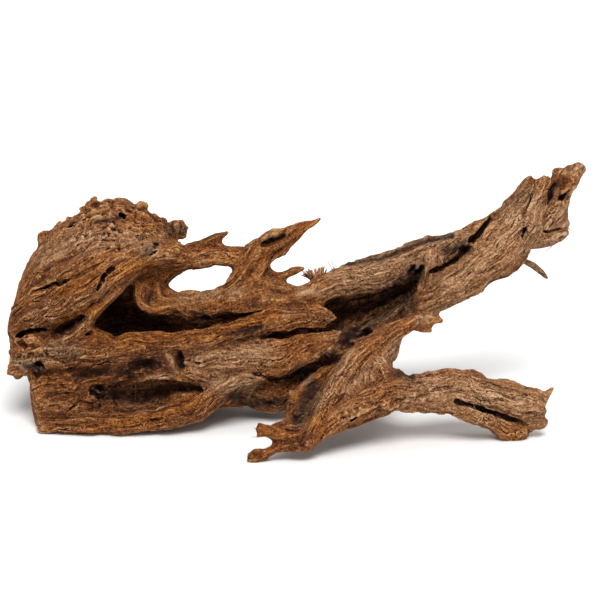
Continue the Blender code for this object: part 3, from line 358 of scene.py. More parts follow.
# Fine strands that the solid leaves out, and backs of slits that are too thin for it
TRIMMINGS = {
    "slot_back": [(284, 337, 10, 8, 8), (312, 331, 12, 8, 8)],
    "heel_back": [(387, 348, 4, 6, 6), (388, 362, -6, 5, 6)],
    "hollow_fill": [(331, 374, -10, 6, 7), (320, 392, -30, 8, 8), (306, 409, -50, 9, 8),
                    (296, 418, -60, 9, 8)],
    "toe_flare": [(300, 414, -56, 8, 8), (288, 424, -66, 6, 6), (274, 430, -76, 5, 5)],
    "toe_splint_a": [(268, 428, -84, 3.4, 4), (257, 422, -85, 1.7, 2)],
    "toe_splint_b": [(266, 434, -86, 3, 4), (254.5, 437.5, -87, 1.6, 2)],
    "toe_splint_d": [(266, 430, -84, 3, 4), (254, 429, -85, 1.6, 2)],
    "toe_splint_e": [(262, 450, -82, 3, 4), (252, 449.5, -82, 1.6, 2)],
    "web_fill": [(435, 260, 6, 7, 8), (436, 272, 3, 7, 8), (434, 286, 2, 9, 9), (430, 298, 6, 11, 11)],
    "plate_spike": [(540, 190, 28, 3.4, 4), (537.5, 181, 28, 1.8, 2)],
    "plate_spike_b": [(546, 186, 30, 3.4, 4), (544, 177.5, 30, 1.8, 2)],
    "toe_splint_c": [(268, 431, -88, 3, 3), (259, 430, -89, 1.2, 1.4)],
    "toe_knob_a": [(252, 455, -80, 4, 4), (246.5, 453.5, -80, 2.2, 2.4)],
    "toe_knob_b": [(252, 459, -79, 4, 4), (246, 460.5, -79, 2.0, 2.2)],
    "toe_spike": [(300, 449, -84, 2.6, 3), (291.5, 452.5, -84, 0.9, 1.0)],
    "web_fray": [(352, 419, -72, 4, 5), (330, 432, -78, 2, 3)],
    "crest_sliver": [(104, 203, 24, 2, 3), (112, 200.5, 24, 1.0, 1.2)],
    "crest_sliver_b": [(140, 207, 24, 3, 3), (150, 205, 24, 1.0, 1.4)],
    "horn_tip": [(94, 207, 27, 5, 6), (95, 201, 27, 4, 5), (95, 198, 26, 3, 3)],
    "antler_fill": [(282, 254, -2, 5, 6), (292, 242, -5, 5, 5), (304, 230, -6, 4, 4), (314, 223, -7, 3.4, 3),
                    (321, 218, -7, 2.2, 2)],
    "fork_back": [(550, 183, 48, 5, 4), (546, 198, 48, 6, 4)],
    "left_knob": [(54, 242, 26, 7, 8), (46, 236, 26, 6.5, 7), (41, 234, 26, 4, 4)],
    "plank_corner": [(316, 338, -14, 6, 5), (332, 335, -14, 5, 4.5), (342, 332, -14, 2.2, 2.4)],
    "plank_corner_b": [(322, 345, -14, 6, 5), (333, 343, -14, 4, 4), (338, 341, -14, 2, 2.4)],
    "plank_shard": [(318, 355, -15, 3, 3), (329, 351, -16, 1.2, 1.4)],
    "plank_shard_b": [(300, 362, -15, 3, 3), (296, 369, -16, 1.4, 1.6)],
    "plank_shard_c": [(287, 372, -14, 3, 4), (279, 378, -16, 1.6, 1.8)],
    "tongue_tip": [(326, 316, -6, 6, 6), (337, 319, -6, 2.4, 3)],
    "slope_plate": [(352, 338, 2, 5, 6), (368, 330, 4, 5, 6), (388, 316, 6, 5, 6), (402, 306, 8, 3, 5)],
    "fang_a": [(358, 345, -6, 4, 5), (352, 336, -4, 1.8, 2.4)],
    "fang_b": [(366, 342, -6, 4, 5), (361, 333, -4, 1.6, 2)],
    "fang_c": [(375, 337, -6, 4, 5), (371, 328, -4, 1.6, 2)],
    "limb_splint": [(540, 414, -24, 4, 5), (548.5, 411, -24, 1.2, 1.6)],
    "limb_splint_b": [(540, 420, -24, 4, 5), (548, 426, -24, 1.4, 1.6)],
    "limb_splint_c": [(516, 434, -22, 4, 4), (525, 438, -22, 1.2, 1.6)],
    "fan_spike_a": [(560, 236, 44, 3, 3), (569, 232, 44, 0.9, 1.2)],
    "fan_spike_b": [(556, 241, 44, 3, 3), (563, 242, 44, 0.9, 1.2)],
    "fan_spike_c": [(560, 213, 44, 3, 3), (569, 211, 44, 0.9, 1.2)],
    "knot_frill_a": [(566, 206, 44, 3, 3), (571, 203, 44, 1.0, 1.2)],
    "knot_frill_b": [(560, 169, 46, 3, 3), (555.5, 167.5, 46, 1.0, 1.2)],
    "nub_hook": [(438, 322, 2, 3, 3), (444, 319, 2, 1.6, 1.8)],
    "spur_fork": [(240, 250, 6, 3, 4), (247, 253, 6, 1.4, 1.8)],
    "heart_rib": [(208, 306, -4, 4, 4), (236, 300, -8, 5, 4), (262, 290, -10, 5, 4), (280, 288, -9, 3, 3)],
    "heart_rib_b": [(214, 299, -2, 3, 3), (240, 290, -8, 4, 4), (258, 276, -10, 4, 4), (266, 262, -12, 3, 3)],
    "heart_rib_c": [(262, 302, -8, 4, 4), (290, 298, -10, 4, 4), (310, 292, -9, 3, 3)],
    "antler_rib": [(246, 268, -10, 3, 3), (258, 252, -13, 4, 3), (272, 249, -14, 3, 3),
                   (290, 241, -11, 2, 2)],
    "bowl_rib": [(168, 290, 14, 2, 3), (176, 297, 8, 3, 3), (196, 296, 2, 3, 3), (218, 290, -2, 3, 3)],
    "shell_rib_a": [(150, 288, 8, 2, 3), (150, 299, 2, 2, 3), (160, 306, -2, 2, 3), (178, 304, -4, 2, 3)],
    "shell_rib_b": [(158, 286, 14, 2, 3), (160, 296, 8, 2, 3), (172, 301, 2, 2, 3), (194, 304, -2, 2, 3)],
}
# Loose hairs: points on the sheet and a radius. The brush is a fan of bristles from its foot to its far edge
HAIRS = [
    ([(333, 273, 20), (331, 267, 18), (327.5, 261, 17)], 0.5),
    ([(333, 273, 20), (333, 266, 18), (331, 258.5, 17)], 0.5),
    ([(333, 272, 20), (335, 267, 19), (336, 262, 18)], 0.5),
    ([(334, 272, 18), (338, 269, 17), (341, 267.5, 16)], 0.5),
    ([(266, 428, -86), (260, 428.5, -87), (254, 428, -88)], 0.5),
    ([(266, 436, -88), (259, 437, -89), (252, 437, -90)], 0.5),
    ([(300, 449, -84), (296, 451, -84), (291, 453, -84)], 0.5),
    ([(500, 434, -24), (506, 438, -24), (511, 439, -24)], 0.5),
    ([(568, 228, 44), (571, 231, 44), (571, 236, 44)], 0.4),
    ([(552, 246, 44), (549, 249, 44), (544, 250, 44)], 0.4),
    ([(108, 340, -34), (113, 345, -36), (119, 348, -36)], 0.4),
    ([(200, 332, -28), (206, 337, -30), (210, 344, -30)], 0.4),
    ([(104, 203, 20), (108, 201, 20), (112, 199.5, 20)], 0.5),
    ([(262, 276, -6), (257, 271, -8), (256, 265, -8)], 0.4),
]
BRUSH_FOOT = (317.0, 284.0, 24.0)
BRUSH_FAR = ((302.0, 273.0, 22.0), (325.0, 268.0, 30.0))
BRUSH_COUNT = 80
BRUSH_SPREAD = 3.0
BRUSH_RADIUS = 1.0
BRUSH_DARK = 0.95
HAIR_DARK = 0.3
BRUSH_STEP = 3.0
BRUSH_TAPER = (1.3, 0.3)
HAIR_STEP = 2.0
HAIR_TAPER = (1.2, 0.4)

ALL_STRANDS = [STOCK, KNOBS, LOG, BACK, CENTRE, ARM, ARM_END, LEG, LIMB, TRIMMINGS]

# Where the wood is orange, grey, pale or darker, and where light and shade are painted: lines on the sheet,
# each with the half width that it colours
ORANGE_LINES = [
    ([(96, 338), (150, 338), (210, 335)], 8), ([(215, 330), (270, 316)], 10),
    ([(318, 430), (314, 412), (326, 392)], 8), ([(60, 290), (110, 274), (150, 262)], 8),
    ([(470, 246), (484, 250)], 8), ([(350, 250), (352, 268)], 2), ([(200, 402), (150, 420), (90, 428)], 6),
    ([(300, 230), (318, 219)], 5), ([(408, 326), (440, 322)], 6), ([(62, 322), (100, 306)], 6),
    ([(262, 432), (300, 434)], 5), ([(330, 366), (296, 398)], 4),
]
GREY_LINES = [
    ([(55, 350), (72, 352)], 12), ([(528, 196), (512, 212)], 12), ([(538, 200), (528, 226)], 6),
    ([(346, 262), (380, 258), (420, 242), (450, 237)], 6), ([(410, 305), (380, 320), (350, 338)], 7),
    ([(215, 380), (250, 386)], 10), ([(526, 256), (548, 278)], 5), ([(300, 372), (320, 400), (300, 422)], 7),
    ([(540, 226), (566, 232)], 8), ([(18, 362), (40, 362)], 8), ([(166, 231), (182, 229)], 6),
]
# Pale strands and wood, and painted light on the lit tops of the shoulder, the crest, the arm, its end and the
# limb
PALE_AND_PAINTED_LIGHT_LINES = [
    ([(46, 258), (62, 246), (86, 240)], 10), ([(150, 378), (174, 375)], 2.5),
    ([(165, 352), (177, 372)], 2.5), ([(300, 292), (340, 290), (392, 284), (412, 270)], 5),
    ([(340, 331), (337, 344), (326, 354)], 2.5), ([(352, 352), (338, 374), (328, 394)], 5),
    ([(212, 378), (250, 382)], 10), ([(345, 276), (400, 264), (460, 242)], 17),
    ([(450, 290), (480, 262), (520, 220), (560, 220)], 20), ([(556, 240), (520, 250)], 6),
    ([(420, 390), (480, 395), (540, 408)], 20), ([(80, 246), (120, 236), (150, 248)], 10),
    ([(568, 170), (584, 168)], 6), ([(180, 298), (240, 292)], 5), ([(400, 345), (350, 385)], 8),
    ([(200, 362), (262, 352)], 14), ([(420, 320), (450, 300)], 8),
]
# Darker along these lines
DARKER_LINES = [
    ([(100, 341), (180, 338), (256, 322)], 18), ([(70, 366), (170, 362)], 12), ([(60, 424), (190, 408)], 14),
    ([(22, 322), (50, 308), (90, 290)], 16), ([(262, 431), (310, 432)], 13), ([(250, 457), (300, 446)], 11),
    ([(345, 340), (400, 308)], 9), ([(330, 372), (292, 410)], 9), ([(200, 240), (262, 238)], 10),
    ([(60, 385), (90, 400)], 14), ([(145, 206), (186, 232)], 10), ([(270, 250), (300, 232)], 8),
]
# Painted shade: in hollows, pits, slots and gaps, under the plank, on the leg's hollow side, and a painted
# shadow line along the back ridge
PAINTED_SHADE_LINES = [
    ([(98, 394), (135, 397), (160, 392)], 9), ([(180, 389), (196, 389)], 4), ([(138, 362), (152, 364)], 9),
    ([(180, 356), (181, 368)], 4), ([(286, 380), (310, 370), (334, 360)], 6),
    ([(285, 402), (250, 402), (230, 396)], 7), ([(316, 384), (306, 402), (296, 420)], 7),
    ([(55, 334), (66, 329), (84, 318)], 4), ([(266, 242), (282, 236)], 4), ([(446, 251), (464, 245)], 6),
    ([(549, 200), (556, 184)], 4), ([(398, 372), (412, 377)], 5), ([(356, 330), (344, 342)], 6),
    ([(24, 366), (40, 369)], 4), ([(230, 335), (262, 326)], 4), ([(561, 197), (568, 193)], 3),
    ([(350, 310), (375, 302), (404, 290), (415, 274)], 14),
    ([(345, 264), (380, 259), (420, 243), (452, 236)], 3), ([(148, 303), (151, 292)], 3),
    ([(196, 314), (206, 317)], 4), ([(76, 377), (100, 372), (130, 372)], 5), ([(96, 222), (124, 217)], 3),
    ([(143, 256), (157, 244)], 3),
]

# Where the wood is crumbled: the lines of painted shade and these
ROTTEN_LINES = [
    *PAINTED_SHADE_LINES, ([(574, 168), (564, 178), (558, 200)], 8), ([(545, 226), (562, 232)], 10),
    ([(28, 342), (34, 374)], 14), ([(420, 322), (445, 320)], 6), ([(472, 246), (486, 246)], 7),
    ([(350, 416), (380, 408), (430, 396)], 9), ([(300, 361), (328, 350)], 6), ([(86, 212), (150, 214)], 12),
]

# Those lines colour the front: wood nearer than this depth, fading over so many mm
FRONT_DEPTH = 62.0
FRONT_FADE = 20.0

# How much a fibre stands out for the material, as the edges of the wood do, which makes it paler, in mm
FIBRE_EDGE = 0.25

# How far the grain of each strand, and of each fibre, is from the next one's: mm along and across
STRAND_APART = (311.7, 37.3)
FIBRE_APART = (3.1, 7.7)

# Thin tubes again: how much of one may overrun its strand, its bends, and where along it the ends are cut
LAID_OVER = 0.3
LAID_BENDS = 5
LAID_ENDS = (0.02, 0.98)

# Noise: how many random lots it draws on, what brings it to about -1 to 1, and the seed of each use
NOISE_LOTS = 256
NOISE_GAIN = 1.6
AIR_SEED = 5
RIDGE_SEED = 10
FLAKE_SEED = 20
SPLIT_SEED = 30
TORN_SEED = 31
KNOT_SEED = 32
BURL_SEED = 40
LUMP_SEED = 50
WARP_SEED = 60
ROTTEN_SEED = 70
SWIRL_SEED = 80

# The relief: its least boldness on thin wood, how fast a flake falls off, where the wood is torn and knotty
# (features in mm, start and end of the noise), how squarely a crack's wood faces us, its least taper
LEAST_BOLD = 0.2
FLAKE_EDGE = 0.06
TORN = (40.0, 0.0, 0.3)
KNOTTY = (24.0, -0.5, 0.1)
CRACK_FACING = (0.0, 0.4)
CRACK_LEAST = 0.15

# Burls on the sheet: the crest's level, slope and right end, the waist's right end, level and half height,
# each with two widths to fade over. Then the least knottiness, a lump's half width in cells and its least
# share, and a pit's depth in lumps, half width and wall
BURL_CREST = (262, 0.05, 196, 30, 20)
BURL_WAIST = (62, 353, 28, 30, 14)
BURL_LEAST = 0.02
BURL_HALF = 0.75
LUMP_LEAST = 0.3
BURL_PIT = (1.6, 0.42, 0.3)

# How free the air over the surface is, felt by rays: their number, first step, short and long reach in mm,
# how far they lean to the normal, and the rounds of smoothing for each reach
AIR_RAYS = 12
AIR_START = 0.6
AIR_REACHES = (9.0, 110.0)
AIR_LEAN = 1.05
AIR_ROUNDS = (2, 3)

# Rounds of smoothing that the edges and the broader ridges are measured against. The material paints shade
# into the creases that they find and makes edges and ridges paler
EDGE_ROUNDS = 1
RIDGE_ROUNDS = 8

# Colours, in linear values: ramps over the tone, then the tone of painted shade in cavities, and how far the
# lines of painted shade and the hairs' darker tone take the colour there
TONE_PLACES = (0.0, 0.25, 0.5, 0.75, 1.0)
TONES = {
    "wood": [(0.013, 0.0032, 0.002), (0.080, 0.0225, 0.0068), (0.215, 0.071, 0.018),
             (0.41, 0.165, 0.052), (0.70, 0.39, 0.18)],
    "grey": [(0.011, 0.0045, 0.0028), (0.058, 0.0245, 0.0118), (0.162, 0.078, 0.035),
             (0.32, 0.178, 0.088), (0.56, 0.37, 0.21)],
    "orange": [(0.016, 0.004, 0.001), (0.105, 0.028, 0.0055), (0.275, 0.086, 0.014),
               (0.48, 0.178, 0.038), (0.74, 0.36, 0.12)],
    "pale": [(0.026, 0.0100, 0.0050), (0.135, 0.055, 0.0225), (0.320, 0.152, 0.067),
             (0.55, 0.305, 0.152), (0.78, 0.52, 0.31)],
}
PAINTED_SHADE_TONE = (0.020, 0.0056, 0.0052)
PAINTED_SHADE_AND_HAIR_SHARE = 0.85

# The material's noises: what they follow, the size of their features in mm, detail, roughness, distortion
NOISES = {
    "fibres": ("grain", (11, 1.4, 1.4), 5, 0.8, 0.25),
    "streaks": ("grain", (26, 4, 4), 4, 0.65, 0.4),
    "bands": ("grain", (80, 14, 14), 2, 0.6, 0.0),
    "clouds": ("place", (11, 11, 11), 5, 0.65, 0.0),
    "zones": ("place", (60, 60, 60), 3, 0.6, 0.0),
    "spots": ("grain", (40, 16, 16), 4, 0.6, 0.0),
    "specks": ("place", (2.0, 2.0, 2.0), 3, 0.7, 0.0),
}

# The tone: its middle, and how far each noise and each layer of the surface moves it
TONE_MIDDLE = 0.495
NOISE_SHARES = {"fibres": 1.25, "streaks": 0.5, "bands": 0.4, "clouds": 0.8, "specks": 1.5}
# The edge and ridge layers paint shade into creases and make edges and ridges paler; the darker layer darkens
# the wood along its lines
LAYER_SHARES = {"edge": 0.58, "ridge": 0.18, "darker": -0.13}

# Colours that noise lays over the wood: which noise, where it starts and is full, its most, the colour
TINTS = [
    ("zones", 0.5, 0.7, 0.35, "grey"), ("zones", 0.52, 0.34, 0.45, "orange"),
    ("spots", 0.55, 0.68, 0.5, "pale"), ("spots", 0.44, 0.34, 0.5, "orange"),
]

# Painted shade in cavities, where less air is free: which air, where it starts and is full, its most
PAINTED_CAVITY_SHADE = [("near_air", 0.55, 0.1, 0.85), ("far_air", 0.42, 0.05, 0.7)]

# The shine: roughness over the fibres (from, to, least, most), and the specular level. Bump, in mm
ROUGHNESS = (0.3, 0.7, 0.62, 0.85)
SPECULAR = 0.15
BUMPS = {"fibres": 3.0, "streaks": 2.4, "specks": 0.8}

# The studio: sky strength, sun (name, place, angle, watts a square metre), lights (name, place, side in m,
# watts), floor and camera
SKY = 0.5
LIT_POINT = (0.0, 0.0, 0.1)
SUN = ("key", (0.1, -1.15, 1.8), 0.5, 3.0)
LIGHTS = [("top", (0.3, 0.3, 2.0), 1.2, 10.0)]
FLOOR_SIDE = 12.0
FLOOR_TONE = (0.9, 0.9, 0.9)
FLOOR_ROUGHNESS = 0.9
SENSOR = 36.0

# Cracks drawn on the sheet: points, half width and depth, in mm
CRACKS = [
    ([(340, 270), (360, 267.5), (380, 265), (400, 257), (420, 250), (440, 243), (455, 236)], 1.8, 5),
    ([(29, 297), (33, 291), (40, 289), (46, 288), (50, 284), (55, 283), (60, 286), (65, 282), (71, 279)],
     1.5, 6), ([(48, 305), (54, 298)], 1.0, 3), ([(17, 291), (25, 280)], 1.2, 4),
    ([(97, 290), (101, 283), (104, 276), (110, 270), (114, 267)], 1.4, 5),
    ([(14, 338), (19, 336), (28, 331), (40, 329), (50, 331)], 1.8, 6),
    ([(56, 375), (65, 372), (72, 369), (80, 367), (90, 367), (97, 363), (107, 362), (120, 363)], 1.4, 5),
    ([(66, 412), (72, 408), (77, 406)], 1.6, 4), ([(57, 429), (65, 430), (72, 432)], 1.2, 4),
    ([(90, 394), (98, 389), (109, 391)], 3.2, 8), ([(110, 228), (116, 231)], 2.6, 5),
    ([(74, 238), (79, 236)], 2.2, 5), ([(128, 228), (133, 226)], 2.4, 5), ([(148, 222), (152, 224)], 2.2, 5),
    ([(185, 387), (196, 380)], 1.0, 3), ([(198, 387), (203, 389), (209, 385), (212, 382)], 1.0, 3),
    ([(215, 375), (221, 377)], 1.2, 3), ([(252, 373), (265, 378), (285, 379)], 1.8, 5),
    ([(256, 368), (262, 376), (268, 378)], 1.2, 4),
    ([(355, 378), (365, 371), (372, 366), (382, 361)], 1.2, 4),
    ([(293, 418), (305, 414), (312, 405)], 1.2, 3), ([(272, 441), (285, 443), (300, 440)], 1.4, 4),
    ([(297, 449), (304, 441)], 1.2, 4),
    ([(457, 401), (470, 405), (485, 411), (500, 417), (515, 420), (530, 427)], 0.9, 3.5),
    ([(478, 410), (488, 411)], 1.0, 3), ([(350, 420), (360, 413)], 1.6, 4),
    ([(300, 332), (320, 331), (338, 330)], 1.2, 4), ([(150, 379), (165, 377), (176, 374)], 1.2, 5),
    ([(217, 338), (224, 334)], 1.6, 3), ([(534, 181), (532, 195), (526, 210)], 1.4, 5),
    ([(205, 251), (222, 250), (244, 252)], 1.0, 3), ([(262, 272), (270, 262), (278, 252)], 1.0, 3),
]


def placed(x, y, depth):
    """Points of the sheet, moved back along the line of sight, in metres over the ground."""
    spread = 1 + depth / SIGHT_DISTANCE
    across = (x - SHEET_CENTRE[0]) * spread
    up = (SHEET_CENTRE[1] - y) * spread
    return (np.multiply.outer(across, RIGHT) + np.multiply.outer(up, RISE)
            + np.multiply.outer(depth, SIGHT) - ORIGIN_ON_SHEET) * MM


def on_sheet(points):
    """The sheet's x, y and depth of points over the ground: placed, the other way round."""
    free = points / MM + ORIGIN_ON_SHEET
    depth = free @ SIGHT
    spread = 1 + depth / SIGHT_DISTANCE
    across = SHEET_CENTRE[0] + free @ RIGHT / spread
    down = SHEET_CENTRE[1] - free @ RISE / spread
    return np.stack([across, down, depth], axis=1)


def along(points, step):
    """Stations on a smooth curve through the points: Catmull-Rom on every column."""
    rows = np.array(points, float)
    rows = np.vstack([rows[0] * 2 - rows[1], rows, rows[-1] * 2 - rows[-2]])
    stations = []
    for before, start, end, after in zip(rows, rows[1:], rows[2:], rows[3:]):
        count = max(2, round(np.linalg.norm((end - start)[:3]) / step))
        for t in np.arange(count) / count:
            stations.append(
                0.5 * (2 * start + (end - before) * t + (2 * before - 5 * start + 4 * end - after) * t**2
                       + (3 * start - before - 3 * end + after) * t**3)
            )
    stations.append(rows[-2])
    return np.array(stations)


def unit(vectors):
    return vectors / np.maximum(np.linalg.norm(vectors, axis=-1, keepdims=True), TINY)


def wander(draw, run):
    """A smooth wavering between -1 and 1 along the run, in mm."""
    waves = [(draw.uniform(*WANDER_PACES) * math.tau / WANDER_LENGTH, draw.uniform(0, math.tau))
             for _ in range(WANDER_WAVES)]
    return sum(np.sin(pace * run + phase) for pace, phase in waves) / len(waves)


def ribbing(draw, angles, run):
    """Round ribs with sharp valleys between them, between -1 and 1, for every ring and side."""
    ribs = [(draw.randint(*RIB_COUNTS), draw.uniform(0, math.tau), draw.uniform(-RIB_TWIST, RIB_TWIST))
            for _ in range(RIBS)]
    waves = [np.abs(np.cos(n / 2 * angles[None, :] + phase + n / 2 * twist * run[:, None]))
             for n, phase, twist in ribs]
    return (sum(waves) / len(waves) - RIB_MEAN) * 2


def point_tree(points):
    tree = KDTree(len(points))
    for i, point in enumerate(points):
        tree.insert(point, i)
    tree.balance()
    return tree


class Tubes:
    """The lofted strands: rings of points, and for every ring where it is and which way its grain runs."""

    def __init__(self, groups):
        self.points, self.faces, self.rings, self.shapes = [], [], [], []
        self.count = 0
        for number, (name, points) in enumerate((item for group in groups for item in group.items())):
            self.add(number, name, points)
        columns_of_rings = [np.concatenate(column) for column in zip(*self.rings)]
        self.centre, self.ahead, self.across, self.through = columns_of_rings[:4]
        self.run, self.wide, self.deep, self.owner = columns_of_rings[4:]
        self.thin = np.minimum(self.wide, self.deep)

    def add(self, number, name, points):
        draw = random.Random(name)
        stations = along(points, STATION_STEP)
        centres = placed(*stations[:, :3].T)
        run = np.append(0, np.cumsum(np.linalg.norm(np.diff(centres, axis=0), axis=1))) / MM
        half = np.maximum(stations[:, 3], THINNEST) * MM * (1 + WANDER_HEIGHT * wander(draw, run))
        deep = np.maximum(stations[:, 4], THINNEST) * MM * (1 + WANDER_HEIGHT * wander(draw, run))
        ahead = unit(np.gradient(centres, axis=0))
        across = unit(np.cross(SIGHT, ahead))
        through = np.cross(ahead, across)
        angles = np.arange(SIDES) * math.tau / SIDES
        relief = 1 + RIB_HEIGHT * ribbing(draw, angles, run)
        last = len(centres) - 1
        turns = (np.arange(CAP_RINGS) + 1) / (CAP_RINGS + CAP_OPEN) * math.pi / 2
        shift = np.sin(turns)
        share = np.cos(turns)
        which = np.concatenate([np.zeros(CAP_RINGS, int), np.arange(last + 1), np.full(CAP_RINGS, last)])
        shift = np.concatenate([-shift[::-1], np.zeros(last + 1), shift])
        share = np.concatenate([share[::-1], np.ones(last + 1), share])
        reach = shift * np.minimum(np.minimum(half, deep)[which], CAP_REACH * MM)
        middle = centres[which] + ahead[which] * reach[:, None]
        wide = (np.cos(angles)[None, :] * half[which, None])[..., None] * across[which, None]
        high = (np.sin(angles)[None, :] * deep[which, None])[..., None] * through[which, None]
        rings = middle[:, None] + (wide + high) * (share[:, None] * relief[which])[..., None]
        self.faces += loft_faces(len(which), SIDES, self.count)
        self.points.append(rings.reshape(-1, 3))
        self.rings.append((middle, ahead[which], across[which], through[which], run[which] + reach / MM,
                           half[which], deep[which], np.full(len(which), number)))
        self.count += len(which) * SIDES
        self.shapes.append((name, run, np.hstack([centres, across * half[:, None], through * deep[:, None]])))

    def tree(self):
        return point_tree(np.concatenate(self.points))

    def nearest_rings(self, tree, points):
        """For each point the ring, among the nearest ones, that it lies deepest in."""
        near = np.array([[found[1] // SIDES for found in tree.find_n(point, RING_CHOICES)]
                         for point in points])
        away = points[:, None] - self.centre[near]
        out = np.hypot(np.einsum("...k,...k", away, self.across[near]) / self.wide[near],
                       np.einsum("...k,...k", away, self.through[near]) / self.deep[near])
        past = np.abs(np.einsum("...k,...k", away, self.ahead[near]))
        best = ((out - 1) * self.thin[near] + RUN_WEIGHT * past).argmin(axis=1)
        return near[np.arange(len(points)), best]

    def grain(self, rings, points):
        """Where points lie along and across the grain of their rings, in mm, each strand's apart."""
        away = points - self.centre[rings]
        run = np.einsum("...k,...k", away, self.ahead[rings]) / MM + self.run[rings]
        side = np.einsum("...k,...k", away, self.across[rings]) / MM
        deep = np.einsum("...k,...k", away, self.through[rings]) / MM
        lengthwise, crosswise = STRAND_APART
        owner = self.owner[rings]
        return np.stack([run + owner * lengthwise, side + owner * crosswise, deep], axis=-1)


def loft_faces(rings, sides, first):
    """The faces of a tube of rings, closed at both ends."""
    start = np.arange(rings - 1)[:, None] * sides + np.arange(sides)[None, :] + first
    turned = np.roll(start, -1, axis=1)
    faces = np.stack([start, turned, turned + sides, start + sides], axis=-1).reshape(-1, 4).tolist()
    faces.append(list(range(first + sides - 1, first - 1, -1)))
    end = first + (rings - 1) * sides
    faces.append(list(range(end, end + sides)))
    return faces


class Laid:
    """Thin tapered tubes laid on a body along the grain of its strands."""

    def __init__(self, name, style, tubes, body):
        self.points, self.faces, self.runs, self.darks = [], [], [], []
        self.count = 0
        self.style = style
        corners = [list(p.vertices) for p in body.data.polygons]
        self.skin = BVHTree.FromPolygons(points_of(body).tolist(), corners)
        for strand, run, shape in tubes.shapes:
            wide = np.linalg.norm(shape[:, 3:6], axis=1).mean() / MM
            deep = np.linalg.norm(shape[:, 6:9], axis=1).mean() / MM
            if min(wide, deep) < style["bearer"]:
                continue
            draw = random.Random(strand + name)
            for _ in range(round(math.pi * (wide + deep) * run[-1] / style["area"])):
                self.lay(draw, run, shape)

    def lay(self, draw, run, shape):
        length = draw.uniform(*self.style["lengths"])
        start = draw.uniform(-LAID_OVER * length, run[-1] - (1 - LAID_OVER) * length)
        angle = draw.uniform(0, math.tau)
        turn = draw.uniform(-LAID_TURN, LAID_TURN)
        phase = draw.uniform(0, math.tau)
        size = draw.uniform(*self.style["radii"])
        peel = self.style["peel"] * draw.random() * (draw.random() < PEEL_SHARE)
        t = np.linspace(0, 1, max(4, round(length / self.style["step"])))
        where = np.clip(start + t * length, 0, run[-1])
        angles = angle + turn * t + self.style["wave"] * np.sin(phase + t * LAID_BENDS)
        base = np.stack([np.interp(where, run, column) for column in shape.T], axis=1)
        path = base[:, :3] + np.cos(angles)[:, None] * base[:, 3:6] + np.sin(angles)[:, None] * base[:, 6:9]
        found = [self.skin.find_nearest(point, LAID_REACH * MM) for point in path]
        if sum(near is None for near, *_ in found) > len(found) / 2:
            return
        centres = np.array([near or point for (near, *_), point in zip(found, path)])
        normals = np.array([normal or (0, 0, 0) for _, normal, *_ in found])
        radius = size * MM * np.sqrt(np.sin(math.pi * np.clip(t, *LAID_ENDS))) * (normals != 0).any(axis=1)
        radius = np.maximum(radius, self.style["least"] * MM)
        lift = peel * MM * np.clip(2 * t - 1, 0, 1)**2 - radius * self.style["sink"]
        self.tube(centres + normals * lift[:, None], radius, normals)

    def tube(self, centres, radius, normals, painted_shade_and_hair_dark=0.0):
        ahead = unit(np.gradient(centres, axis=0) + 1e-9)
        side = unit(np.cross(ahead, unit(normals + 1e-9)))
        over = np.cross(side, ahead)
        sides = self.style["sides"]
        turns = np.arange(sides) * math.tau / sides
        spokes = np.cos(turns)[None, :, None] * side[:, None] + np.sin(turns)[None, :, None] * over[:, None]
        self.points.append((centres[:, None] + spokes * radius[:, None, None]).reshape(-1, 3))
        self.faces += loft_faces(len(centres), sides, self.count)
        run = np.append(0, np.cumsum(np.linalg.norm(np.diff(centres, axis=0), axis=1))) / MM
        self.runs.append(np.repeat(run, sides))
        self.darks.append(np.full(len(centres) * sides, painted_shade_and_hair_dark))
        self.count += len(centres) * sides

    def hairs(self):
        """The loose hairs drawn one by one, and the brush of bristles behind the arm."""
        for points, radius in HAIRS:
            self.hair(points, HAIR_STEP, radius, HAIR_TAPER, RISE, HAIR_DARK)
        draw = random.Random("brush")
        for _ in range(BRUSH_COUNT):
            share = draw.random()
            far = [a + (b - a) * share + draw.uniform(-1, 1) * BRUSH_SPREAD for a, b in zip(*BRUSH_FAR)]
            foot = [v + draw.uniform(-1, 1) * BRUSH_SPREAD for v in BRUSH_FOOT]
            bend = [(a + b) / 2 + draw.uniform(-1, 1) * BRUSH_SPREAD / 2 for a, b in zip(foot, far)]
            painted_shade_and_hair_dark = draw.random() * BRUSH_DARK
            self.hair((foot, bend, far), BRUSH_STEP, BRUSH_RADIUS, BRUSH_TAPER, SIGHT, painted_shade_and_hair_dark)

    def hair(self, points, step, radius, tapers, normal, painted_shade_and_hair_dark):
        path = placed(*along([(*point, 0, 0) for point in points], step)[:, :3].T)
        taper = np.linspace(*tapers, len(path))
        self.tube(path, radius * MM * taper, np.tile(normal, (len(path), 1)), painted_shade_and_hair_dark)


def lots_of(order, cell):
    """For every cell of space a number below NOISE_LOTS, from a shuffled order of them."""
    lot = 0
    for axis in range(3):
        lot = order[(lot + cell[:, axis]) % NOISE_LOTS]
    return lot


def smooth_noise(points, seed):
    """Perlin's noise, about -1 to 1, with features one unit wide."""
    rng = np.random.default_rng(seed)
    slopes = unit(rng.normal(size=(NOISE_LOTS, 3)))
    order = rng.permutation(NOISE_LOTS)
    cell = np.floor(points).astype(int)
    inside = points - cell
    fade = inside**3 * (inside * (inside * 6 - 15) + 10)
    total = np.zeros(len(points))
    for corner in itertools.product((0, 1), repeat=3):
        share = np.prod(np.where(corner, fade, 1 - fade), axis=1)
        total += share * np.einsum("ij,ij->i", slopes[lots_of(order, cell + corner)], inside - corner)
    return total * NOISE_GAIN


def even_noise(points, width, seed):
    """Noise over the ground, with features width mm wide."""
    return smooth_noise(points / MM / width, seed)


def grain_noise(grain, length, width, seed):
    """Noise along the grain, with features length by width mm."""
    return smooth_noise(grain / (length, width, width), seed)


